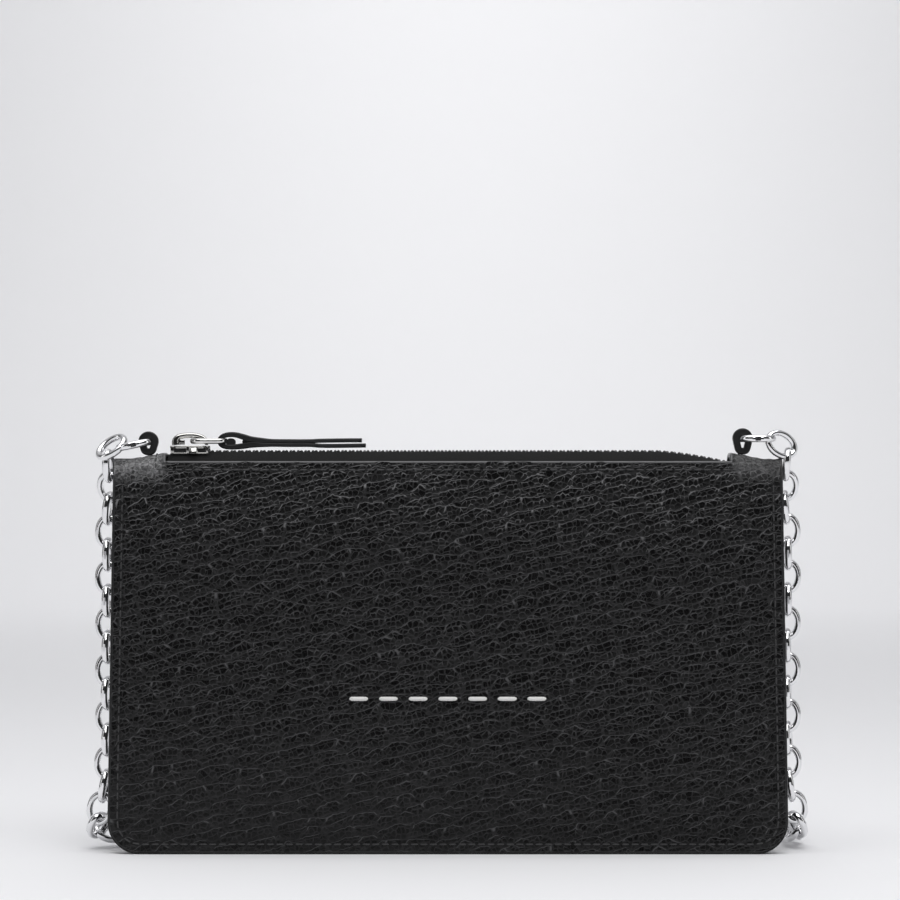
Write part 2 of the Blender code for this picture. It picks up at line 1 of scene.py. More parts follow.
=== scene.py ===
"""The looks of the chain wallet: leather, zip, metal and chain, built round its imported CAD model.

Sizes are in metres and angles in radians, in the model's own frame: the origin is on the surface that
the wallet stands on, +X is to the right of someone who faces its front, +Y is back and +Z is up.
"""

import math

import bmesh
import bpy
import numpy as np
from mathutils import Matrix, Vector


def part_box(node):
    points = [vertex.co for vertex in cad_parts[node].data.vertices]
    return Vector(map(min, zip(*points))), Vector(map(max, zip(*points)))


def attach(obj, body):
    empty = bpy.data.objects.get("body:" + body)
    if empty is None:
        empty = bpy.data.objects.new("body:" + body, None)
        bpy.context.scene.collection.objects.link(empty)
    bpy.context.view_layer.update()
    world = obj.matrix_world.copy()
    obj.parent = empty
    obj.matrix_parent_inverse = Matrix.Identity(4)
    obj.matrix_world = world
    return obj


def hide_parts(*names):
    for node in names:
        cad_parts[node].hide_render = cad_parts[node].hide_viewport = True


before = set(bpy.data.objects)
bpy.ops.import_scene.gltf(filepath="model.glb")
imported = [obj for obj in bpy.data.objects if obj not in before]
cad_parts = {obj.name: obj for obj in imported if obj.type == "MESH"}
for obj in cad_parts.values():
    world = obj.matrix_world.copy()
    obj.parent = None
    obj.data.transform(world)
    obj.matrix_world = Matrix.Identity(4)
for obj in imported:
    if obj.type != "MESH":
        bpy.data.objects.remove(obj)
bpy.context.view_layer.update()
leather_low, leather_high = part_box("outer_leather")
SEED = 11
RIGHT, BACK, UP = np.eye(3)

# ---------------------------------------------------------------- the wallet's dimensions

WIDTH_AT_BASE = 0.1916
WIDTH_AT_TOP = 0.1880
TOP = leather_high.z
SHOULDER_TOP = 0.1111
CORNER_RADIUS = 0.0090
DEPTH = leather_high.y - leather_low.y
SEAM_DEPTH = 0.0047
SEAM_MARGIN = 0.0030
SIDE_RISE = 0.0180
BASE_RISE = 0.0450
LEATHER = 0.0014
FOLD_RISE = 0.0051
FOLD_RISE_AT_END = 0.0027
SLOT_HALF_LENGTH = 0.0793
SLOT_EDGE_ANGLE = math.radians(31.5)
FOLD_SQUARENESS = 0.30
ROUND_FROM = 0.0785
ROUND_LENGTH = 0.0030
GAP = 0.0003

LINING = 0.0005
POCKET_HALF_WIDTH = 0.078

TAPE = 0.0005
TAPE_HALF_LENGTH = 0.0825
TAPE_FOOT = 0.1040
TAPE_EDGE_Y = 0.0032
TAPE_MEETING_Y = 0.0004
TAPE_EDGE_HEIGHT = 0.1130
LEFT_DROP = (-0.0773, -0.0800, 0.0038)
RIGHT_DROP = (0.0583, 0.0815, 0.0037)
TOOTH_PITCH = 0.00208
TEETH_START = -0.0770
TEETH_END = 0.0817
TEETH_BOTTOM = 0.1118
TEETH_TOP = 0.1135

RING_PIVOT = Vector((-0.0718, 0.0, 0.1160))
RING_LENGTH = 0.0106
RING_WIDTH = 0.0080
RING_WIRE = 0.0013
PULLER_LENGTH = 0.0403
PULLER_LAYER = 0.00112
PULLER_HALF_WIDTH = 0.0032
PULLER_LOOP_HALF_WIDTH = 0.0020

LOOP_STRAP = 0.0019
LOOP_HALF_WIDTH = 0.0014
LOOP_OUTER_RADIUS = 0.0028
LEFT_LINK_PIVOT = Vector((-0.0838, 0.0, 0.1159))
RIGHT_LINK_PIVOT = Vector((0.0825, 0.0, 0.1167))
LEFT_LINK_TILT = math.radians(12.0)

# The chain's links, and the route that they follow down each side of the wallet
LINK_LENGTH = 0.0102
LINK_WIDTH = 0.0080
END_LINK_LENGTH = 0.0108
END_LINK_WIDTH = 0.0082
LINK_BAR = 0.0018
LINK_THICKNESS = 0.0021
LINK_PITCH = 0.00655
CHAIN_TUCK = 0.0011             # the links hang this much closer to the wallet than the tube's middle
CHAIN_DOWN_LEFT = [
    (-0.0957, 0.0006, 0.1120), (-0.0955, 0.0035, 0.1050),
    (-0.0968, 0.0064, 0.0985), (-0.0974, 0.0074, 0.0870), (-0.0973, 0.0074, 0.0700),
    (-0.0973, 0.0074, 0.0500), (-0.0974, 0.0074, 0.0300), (-0.0978, 0.0075, 0.0190),
    (-0.0988, 0.0078, 0.0115), (-0.0998, 0.0095, 0.0065), (-0.0990, 0.0135, 0.0046),
    (-0.0945, 0.0172, 0.0042), (-0.0876, 0.0175, 0.0042),
]
CHAIN_DOWN_RIGHT = [
    (0.0957, 0.0006, 0.1124), (0.0954, 0.0034, 0.1060),
    (0.0964, 0.0062, 0.0995), (0.0974, 0.0074, 0.0880), (0.0973, 0.0074, 0.0700),
    (0.0973, 0.0074, 0.0500), (0.0974, 0.0074, 0.0300), (0.0977, 0.0075, 0.0190),
    (0.0985, 0.0080, 0.0115), (0.0994, 0.0103, 0.0065), (0.0997, 0.0150, 0.0045),
    (0.0990, 0.0240, 0.0042), (0.0975, 0.0400, 0.0042), (0.0978, 0.0560, 0.0042),
    (0.0980, 0.0670, 0.0042), (0.0945, 0.0745, 0.0042), (0.0884, 0.0760, 0.0042),
]
HANK_RUNS = 5
HANK_TURN_X = 0.0750
HANK_LEVEL = 0.0042

# Grain, edge paint and stitching
EDGE_INSET = 0.0003             # the painted edge stands proud of the grained sides by this much
PAINT_LIP = 0.0008
STITCH_PITCH = 0.0027
STEP_STITCH_PITCH = 0.0024
STITCH_RADIUS = 0.00023
SEAM_FROM_EDGE = 0.0028
STITCH_ANGLE = math.radians(4.5)        # where the zip's stitching runs, on the curve of the top
STEP_X = 0.0818                 # the stitching turns up and over the top beyond each end of the slot

CAMERA_DISTANCE = 0.950
CAMERA_HEIGHT = 0.1135
CAMERA_X = 0.0006
VIEW_WIDTH = 0.2514             # width of what the camera sees, at the front of the wallet
SENSOR_MM = 36.0


# ---------------------------------------------------------------- numbers and meshes

def ease_out(value):
    return 1.0 - (1.0 - np.clip(value, 0.0, 1.0)) ** 2


def smooth_step(value):
    value = np.clip(value, 0.0, 1.0)
    return value * value * (3.0 - 2.0 * value)


def mix(low, high, part):
    return low + (high - low) * part


def grid_faces(rows, columns, wrap_rows=False, wrap_columns=False, keep=None):
    """Quads over points that are stored row by row. keep marks the cells that are there."""
    index = np.arange(rows * columns).reshape(rows, columns)
    if wrap_columns:
        index = np.concatenate([index, index[:, :1]], axis=1)
    if wrap_rows:
        index = np.concatenate([index, index[:1]], axis=0)
    quads = np.stack([index[:-1, :-1], index[:-1, 1:], index[1:, 1:], index[1:, :-1]], axis=-1)
    return quads[keep] if keep is not None else quads.reshape(-1, 4)


class Parts:
    """Points and faces of several shapes that end up in one mesh."""

    def __init__(self):
        self.points = []
        self.faces = []
        self.count = 0

    def add(self, points, faces):
        points = np.asarray(points, float).reshape(-1, 3)
        self.faces += [[int(corner) + self.count for corner in face] for face in faces]
        self.points.append(points)
        self.count += len(points)

    def joined(self):
        return np.concatenate(self.points), self.faces


def unit(vectors):
    return vectors / np.maximum(np.linalg.norm(vectors, axis=-1, keepdims=True), 1e-12)


def tangents(path, closed=False):
    if closed:
        return unit(np.roll(path, -1, axis=0) - np.roll(path, 1, axis=0))
    return unit(np.gradient(path, axis=0))


def sweep(path, sides, ups, sections, closed=False):
    """A skin round a path, as points and faces.

    sections holds each ring's (side, up) pairs. It, sides and ups hold one entry for each point of
    the path, or one for all.
    """
    sides = np.broadcast_to(sides, path.shape)
    ups = np.broadcast_to(ups, path.shape)
    sections = np.asarray(sections)
    sections = np.broadcast_to(sections, (len(path), *sections.shape[-2:]))
    points = path[:, None] + sections[..., :1] * sides[:, None] + sections[..., 1:] * ups[:, None]
    rings, around = points.shape[:2]
    faces = grid_faces(rings, around, wrap_rows=closed, wrap_columns=True).tolist()
    if not closed:
        faces.append(list(range(around))[::-1])
        faces.append(list(range((rings - 1) * around, rings * around)))
    return points.reshape(-1, 3), faces


def round_section(half_side, half_up, count, squareness=2.0):
    """A ring of (side, up) pairs on an ellipse, or nearer a rectangle where squareness is over 2."""
    angle = 2 * math.pi * (np.arange(count) + 0.5) / count
    side = np.sign(np.cos(angle)) * np.abs(np.cos(angle)) ** (2 / squareness)
    up = np.sign(np.sin(angle)) * np.abs(np.sin(angle)) ** (2 / squareness)
    return np.stack([half_side * side, half_up * up], axis=-1)


def curve_through(points, spacing, closed=False):
    """Points about a spacing apart on one smooth curve through the given points."""
    points = np.asarray(points, float)
    if closed:
        padded = np.concatenate([points[-1:], points, points[:2]])
    else:
        padded = np.concatenate([2 * points[:1] - points[1:2], points, 2 * points[-1:] - points[-2:-1]])
    t = np.linspace(0.0, 1.0, 24, endpoint=False)[:, None]
    fine = []
    for a, b, c, d in zip(padded[:-3], padded[1:-2], padded[2:-1], padded[3:]):
        fine.append(0.5 * (2 * b + (c - a) * t + (2 * a - 5 * b + 4 * c - d) * t ** 2
                           + (3 * b - a - 3 * c + d) * t ** 3))
    fine = np.concatenate(fine + [padded[-2:-1]])
    return evenly(fine, spacing, closed)


def evenly(line, spacing, closed=False):
    """The same line with its points the same distance apart, near the given spacing."""
    steps = np.linalg.norm(np.diff(line, axis=0), axis=1)
    travelled = np.concatenate([[0.0], np.cumsum(steps)])
    count = max(2, round(travelled[-1] / spacing))
    wanted = np.linspace(0.0, travelled[-1], count + 1)
    if closed:
        wanted = wanted[:-1]
    return np.stack([np.interp(wanted, travelled, line[:, axis]) for axis in range(3)], axis=-1)


def make_piece(name, points, faces, material, body, slot, replaced=(), outward=True, sharp=None):
    """A mesh piece that rides on a body, with smooth shading, and sharp edges over an angle if given."""
    mesh = bpy.data.meshes.new(name)
    mesh.from_pydata(np.asarray(points).reshape(-1, 3).tolist(), [], [list(face) for face in faces])
    if outward:
        bm = bmesh.new()
        bm.from_mesh(mesh)
        bmesh.ops.recalc_face_normals(bm, faces=bm.faces[:])
        bm.to_mesh(mesh)
        bm.free()
    mesh.materials.append(material)
    mesh.shade_smooth()
    if sharp is not None:
        mesh.set_sharp_from_angle(angle=math.radians(sharp))
    piece = bpy.data.objects.new(name, mesh)
    bpy.context.scene.collection.objects.link(piece)
    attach(piece, body)
    if replaced:
        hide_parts(*replaced)
    return piece


def set_attribute(piece, name, values):
    """Store one number for each point, which the material reads by its name."""
    made = piece.data.attributes.new(name, "FLOAT", "POINT")
    made.data.foreach_set("value", np.asarray(values, np.float32).ravel())


# ---------------------------------------------------------------- materials

class Nodes:
    """A node tree, with short calls to add and link its nodes. Values are numbers or sockets."""

    def __init__(self, tree):
        self.tree = tree

    def set(self, node, values):
        for key, value in values.items():
            socket = node.inputs[key]
            if isinstance(value, bpy.types.NodeSocket):
                self.tree.links.new(value, socket)
            else:
                socket.default_value = value

    def node(self, kind, values=None, **settings):
        made = self.tree.nodes.new(kind)
        for key, value in settings.items():
            setattr(made, key, value)
        self.set(made, values or {})
        return made

    def split(self, vector):
        return self.node("ShaderNodeSeparateXYZ", {0: vector}).outputs

    def maths(self, operation, first, second):
        return self.node("ShaderNodeMath", {0: first, 1: second}, operation=operation).outputs[0]

    def product(self, first, *others):
        for other in others:
            first = self.maths("MULTIPLY", first, other)
        return first

    def between(self, value, start, end, low=0.0, high=1.0):
        """From low at start to high at end, smoothly, and level outside them."""
        made = self.node("ShaderNodeMapRange", {"Value": value, "From Min": start, "From Max": end,
                                                "To Min": low, "To Max": high},
                         interpolation_type="SMOOTHSTEP")
        return made.outputs["Result"]


class Shader(Nodes):
    """A material's node tree. The surface's plain values stand in for its patterns elsewhere."""

    def __init__(self, name, colour, roughness, metallic=0.0):
        self.material = bpy.data.materials.new(name)
        self.material.use_nodes = True
        super().__init__(self.material.node_tree)
        self.surface = self.tree.nodes["Principled BSDF"]
        self.set(self.surface, {"Base Color": (*colour, 1.0), "Roughness": roughness,
                                "Metallic": metallic})
        self.place = self.node("ShaderNodeTexCoord").outputs["Object"]

    def noise(self, scale, detail=2.0, stretch=None):
        """Noise from 0 to 1, with a scale in features per metre."""
        place = self.place
        if stretch:
            place = self.node("ShaderNodeMapping", {"Vector": place, "Scale": stretch}).outputs["Vector"]
        made = self.node("ShaderNodeTexNoise", {"Vector": place, "Scale": scale, "Detail": detail})
        return made.outputs["Fac"]

    def cells(self, scale):
        """The distance to the nearest of many scattered points, with a scale in points per metre."""
        return self.node("ShaderNodeTexVoronoi", {"Vector": self.place, "Scale": scale}).outputs["Distance"]

    def waves(self, scale, direction):
        """Slightly uneven bands across a direction."""
        made = self.node("ShaderNodeTexWave", {"Vector": self.place, "Scale": scale, "Distortion": 0.4},
                         wave_type="BANDS", bands_direction=direction)
        return made.outputs["Fac"]

    def attribute(self, name):
        return self.node("ShaderNodeAttribute", attribute_name=name).outputs["Fac"]

    def vector(self, operation, first, second):
        return self.node("ShaderNodeVectorMath", {0: first, 1: second}, operation=operation).outputs[0]

    def ramp(self, value, low, high):
        """The value, moved from 0..1 to low..high."""
        made = self.node("ShaderNodeMapRange", {"Value": value, "To Min": low, "To Max": high})
        return made.outputs["Result"]

    def blend(self, part, low, high):
        """A colour between two, which are colours or sockets."""
        made = self.node("ShaderNodeMix", data_type="RGBA")
        low, high = [(*colour, 1.0) if isinstance(colour, tuple) else colour for colour in (low, high)]
        self.set(made, {0: part, 6: low, 7: high})
        return made.outputs[2]

    def bump(self, height, depth, before=None):
        """A normal from a height of 0 to 1 that stands for a depth in metres."""
        values = {"Height": height, "Distance": depth, "Strength": 1.0}
        if before is not None:
            values["Normal"] = before
        return self.node("ShaderNodeBump", values).outputs["Normal"]

    def finish(self, **values):
        self.set(self.surface, {key.replace("_", " "): value for key, value in values.items()})
        return self.material

    def finish_mottled(self, tones, tint, gloss, normal):
        """Finish with two tones in blotches and a roughness that varies.

        tint holds the tones' noise, as scale and detail, and gloss the roughness's scale, low and high.
        """
        scale, smooth, dull = gloss
        return self.finish(Base_Color=self.blend(self.noise(*tint), *tones),
                           Roughness=self.ramp(self.noise(scale), smooth, dull), Normal=normal)


def voronoi(s, place, randomness=1.0):
    """The sockets of a flat Voronoi pattern: its cells, and how far each point is from a cell's edge."""
    values = {"Vector": place, "Scale": 1.0, "Randomness": randomness}
    cells = s.node("ShaderNodeTexVoronoi", values, voronoi_dimensions="2D")
    edges = s.node("ShaderNodeTexVoronoi", values, voronoi_dimensions="2D", feature="DISTANCE_TO_EDGE")
    return cells.outputs, edges.outputs["Distance"]


def hide_place(s):
    """The place on the flat hide, measured in pebbles across and up."""
    parts = {"X": s.attribute("hide_across"), "Y": s.attribute("hide_up")}
    return s.node("ShaderNodeCombineXYZ", parts).outputs[0]


def pebbles(s):
    """Sockets from 0 to 1 for the hide's pits, which have thin ribs in them, and for the lines over them.

    The pits hang in groups under long curved creases, so a group's lower half fades away.
    """
    place = hide_place(s)
    drift = s.node("ShaderNodeTexNoise", {"Vector": place, "Scale": 0.40, "Detail": 2.0}).outputs["Color"]
    place = s.vector("ADD", place, s.vector("MULTIPLY", drift, (1.5, 1.4, 0.0)))

    wave = s.vector("MULTIPLY", place, (0.20, 0.48, 1.0))
    waves, wave_edge = voronoi(s, wave, 0.9)
    along_wave, under_wave, _ = s.split(s.vector("SUBTRACT", wave, waves["Position"]))
    sideways = s.maths("MULTIPLY", s.maths("ABSOLUTE", along_wave, 0.0), 0.65)
    arch = s.maths("SUBTRACT", under_wave, sideways)
    crease = s.product(s.between(wave_edge, 0.075, 0.005), s.between(arch, -0.02, 0.20))

    cells, cell_edge = voronoi(s, place, 0.85)
    _, up, _ = s.split(s.vector("SUBTRACT", place, cells["Position"]))
    size, depth, bold = s.split(cells["Color"])
    inside = s.maths("SUBTRACT", cell_edge, s.ramp(size, 0.01, 0.13))
    _, rib_edge = voronoi(s, s.vector("MULTIPLY", place, (3.0, 1.9, 1.0)))
    calm = s.attribute("calm")
    pit = s.product(s.between(inside, -0.01, 0.11), s.between(rib_edge, 0.0, 0.12, 0.45, 1.0),
                    s.ramp(depth, 0.70, 1.30), s.between(under_wave, -0.42, 0.0, 0.55, 1.0),
                    s.between(wave_edge, 0.01, 0.10), s.ramp(calm, 1.0, 0.55))
    brow = s.product(s.between(inside, 0.04, -0.04), s.between(up, 0.12, 0.36),
                     s.ramp(bold, 0.20, 0.85), s.ramp(calm, 1.0, 0.30))
    return pit, s.maths("MAXIMUM", brow, crease)


def grained_leather():
    """Pebbled hide: dull pits darkened with painted shade, paler lines and crests that are painted
    highlights, a painted highlight on the shoulders, and a fine pore texture everywhere.
    """
    s = Shader("grained_leather", (0.014, 0.014, 0.015), 0.50)
    grain = s.attribute("grain")
    pit, brow = [s.product(mask, grain) for mask in pebbles(s)]
    _, crack = voronoi(s, s.vector("MULTIPLY", hide_place(s), (0.85, 0.75, 1.0)))
    # painted highlight: the shoulders' colour is made pale where top light would catch the fold, broken up
    # by their cracked texture
    shoulder_highlight_amount = s.product(s.between(crack, 0.0, 0.13, 0.40, 1.0), s.ramp(s.noise(700.0, 4.0), -0.1, 1.5))
    painted_shoulder_highlight = s.product(s.attribute("shoulder"), shoulder_highlight_amount)
    base = s.blend(s.noise(420.0, 4.0), (0.0080, 0.0080, 0.0082), (0.0320, 0.0320, 0.0325))
    base = s.blend(painted_shoulder_highlight, base, (0.350, 0.350, 0.354))
    # painted highlight: the crests' colour is made paler where top light would catch them
    base = s.blend(s.product(s.attribute("crest"), 0.40), base, (0.060, 0.060, 0.062))
    # painted shade: the pits' colour is darkened where shadow falls in them
    base = s.blend(pit, base, (0.0010, 0.0010, 0.0011))
    # painted highlight: the lines over the pits are made paler, more so near the top
    base = s.blend(brow, base, s.blend(s.attribute("upper"), (0.090, 0.090, 0.093), (0.230, 0.230, 0.234)))
    height = s.maths("ADD", s.product(brow, 0.25), s.product(pit, -0.75))
    pebbled = s.bump(height, 0.00026)
    pores = s.bump(s.cells(2600.0), 0.000030, pebbled)
    fine = s.bump(s.noise(5200.0, 3.0), 0.000020, pores)
    rough = s.maths("ADD", s.ramp(s.noise(900.0), 0.44, 0.56), s.product(pit, 0.35))
    rough = s.maths("SUBTRACT", rough, s.product(brow, 0.10))
    s.set(s.surface, {"Specular IOR Level": 0.11})
    return s.finish(Base_Color=base, Roughness=rough, Normal=fine)


def smooth_leather():
    """Fine calf leather for the loops and the puller, with a soft sheen."""
    s = Shader("smooth_leather", (0.012, 0.012, 0.013), 0.38)
    creases = s.bump(s.cells(3200.0), 0.000014)
    fine = s.bump(s.noise(9000.0), 0.000008, creases)
    s.set(s.surface, {"Specular IOR Level": 0.26})
    tones = (0.0095, 0.0095, 0.0100), (0.0170, 0.0170, 0.0180)
    return s.finish_mottled(tones, (700.0, 3.0), (1500.0, 0.32, 0.46), fine)


def edge_paint(name, dark, pale):
    """The painted cut edges: smooth lacquer with slight unevenness along its length."""
    s = Shader(name, pale, 0.30)
    uneven = s.bump(s.noise(650.0), 0.00006)
    return s.finish_mottled((dark, pale), (450.0,), (1200.0, 0.24, 0.38), uneven)


def thread(name, dark, pale, roughness):
    """Bonded twisted thread, with fibres that run along its length."""
    s = Shader(name, pale, roughness)
    fibres = s.bump(s.noise(9000.0), 0.00003)
    gloss = (4000.0, roughness - 0.08, roughness + 0.08)
    return s.finish_mottled((dark, pale), (2500.0,), gloss, fibres)


def woven(name, dark, pale, threads):
    """A fine plain weave, with a number of threads per metre each way."""
    s = Shader(name, pale, 0.85)
    weave = s.product(s.waves(threads / 2.0, "X"), s.waves(threads / 2.0, "Z"))
    return s.finish(Base_Color=s.blend(weave, dark, pale), Normal=s.bump(weave, 0.00009),
                    Roughness=s.ramp(s.noise(3000.0), 0.75, 0.95))


def zip_teeth_finish():
    """Black moulded teeth, slightly polished where use has smoothed them."""
    s = Shader("zip_teeth", (0.014, 0.014, 0.015), 0.36)
    grain = s.bump(s.noise(7000.0), 0.00001)
    tones = (0.010, 0.010, 0.011), (0.020, 0.020, 0.021)
    return s.finish_mottled(tones, (1800.0,), (1500.0, 0.28, 0.44), grain)


def polished_metal(name, dark, pale):
    """Plated metal, with hairline scratches and a very slight waviness."""
    s = Shader(name, pale, 0.07, metallic=1.0)
    wavy = s.bump(s.noise(380.0), 0.000012)
    scratches = s.bump(s.noise(2400.0, stretch=(1.0, 0.12, 1.0)), 0.0000025, wavy)
    return s.finish_mottled((dark, pale), (600.0,), (1600.0, 0.035, 0.13), scratches)


GRAINED = grained_leather()
SMOOTH = smooth_leather()
PAINT = edge_paint("edge_paint", (0.008, 0.008, 0.009), (0.014, 0.014, 0.015))
# painted highlight: the slot's black edge paint is given a pale colour where top light would catch its
# rounded bead
SLOT_EDGE_HIGHLIGHT = edge_paint("slot_edge_paint_highlight", (0.070, 0.070, 0.072), (0.105, 0.105, 0.108))
BLACK_THREAD = thread("black_thread", (0.015, 0.015, 0.016), (0.062, 0.062, 0.064), 0.55)
WHITE_THREAD = thread("white_thread", (0.66, 0.65, 0.63), (0.86, 0.86, 0.85), 0.60)
TAPE_CLOTH = woven("zip_tape", (0.001, 0.001, 0.0011), (0.018, 0.018, 0.019), 2600.0)
LINING_CLOTH = woven("lining_cloth", (0.009, 0.009, 0.010), (0.034, 0.034, 0.036), 2000.0)
TEETH = zip_teeth_finish()
METAL = polished_metal("polished_metal", (0.76, 0.76, 0.775), (0.86, 0.86, 0.865))
SLIDER_METAL = polished_metal("slider_metal", (0.40, 0.395, 0.38), (0.50, 0.495, 0.48))
RING_METAL = polished_metal("ring_metal", (0.62, 0.615, 0.605), (0.72, 0.715, 0.705))


# ---------------------------------------------------------------- the wallet's own shape

def half_width(z):
    """From the middle to the side at a height, with the round bottom corners."""
    drop = np.clip(CORNER_RADIUS - z, 0.0, CORNER_RADIUS)
    rounding = CORNER_RADIUS - np.sqrt(CORNER_RADIUS ** 2 - drop ** 2)
    return mix(WIDTH_AT_BASE, WIDTH_AT_TOP, np.clip(z / TOP, 0.0, 1.0)) / 2 - rounding


def half_depth(x, z):
    """From the middle to a wall: full in the middle, and thin where the two walls are sewn together."""
    from_side = ease_out((half_width(z) - np.abs(x) - SEAM_MARGIN) / SIDE_RISE)
    from_base = ease_out((z - SEAM_MARGIN) / BASE_RISE)
    return SEAM_DEPTH / 2 + (DEPTH - SEAM_DEPTH) / 2 * from_side * from_base


def shoulder_part(x):
    """0 beside the slot, 1 at the outer end of a shoulder."""
    return np.clip((np.abs(x) - SLOT_HALF_LENGTH) / (WIDTH_AT_TOP / 2 - SLOT_HALF_LENGTH), 0.0, 1.0)


def fold_top(x):
    """The height of the folded top: level over the slot, and lower over the shoulders."""
    return mix(TOP, SHOULDER_TOP, smooth_step(shoulder_part(x) / 0.7))


def fold_rise(x):
    return mix(FOLD_RISE, FOLD_RISE_AT_END, shoulder_part(x))


def fold_base(x):
    return fold_top(x) - fold_rise(x)


def wall_points(x, z, side, inset=0.0):
    """Points on the front wall (side -1) or the back wall (side 1), or a distance inside it."""
    x, z = np.broadcast_arrays(x, z)
    return np.stack([x, side * (half_depth(x, z) - inset), z], axis=-1)


def fold_points(x, angle, inset=0.0):
    """Points on the curved top. The angle runs from 0 at the front wall to pi at the back wall."""
    x, angle = np.broadcast_arrays(x, angle)
    power = mix(FOLD_SQUARENESS, 1.0, smooth_step((np.abs(x) - ROUND_FROM) / ROUND_LENGTH))
    reach = np.sign(np.cos(angle)) * np.abs(np.cos(angle)) ** power
    y = -(half_depth(x, fold_base(x)) - inset) * reach
    z = fold_base(x) + (fold_rise(x) - inset) * np.sin(angle)
    return np.stack([x, y, z], axis=-1)


# ---------------------------------------------------------------- the hide's grain

MAP_STEP = 0.0002
MAP_HALF_WIDTH = 0.0985
FOLD_LENGTH = 0.0095            # along the hide, from the top of a wall to the middle of the fold
MAP_TOP = 2 * (TOP - FOLD_RISE + FOLD_LENGTH)
GRAIN_SLOPE = math.radians(13)
ROW_SPACING = 0.0029
PIT_SPACING = 0.00140


def value_noise(rng, shape, cell):
    """Smooth noise from -1 to 1 over a map. cell is the size of its blotches in metres, (up, across)."""
    rows, columns = (np.arange(size) * MAP_STEP / length for size, length in zip(shape, cell))
    coarse = rng.uniform(-1.0, 1.0, (int(rows[-1]) + 2, int(columns[-1]) + 2))
    row, column = rows.astype(int), columns.astype(int)
    up = smooth_step(rows - row)[:, None]
    across = smooth_step(columns - column)
    low = mix(coarse[row][:, column], coarse[row][:, column + 1], across)
    high = mix(coarse[row + 1][:, column], coarse[row + 1][:, column + 1], across)
    return mix(low, high, up)


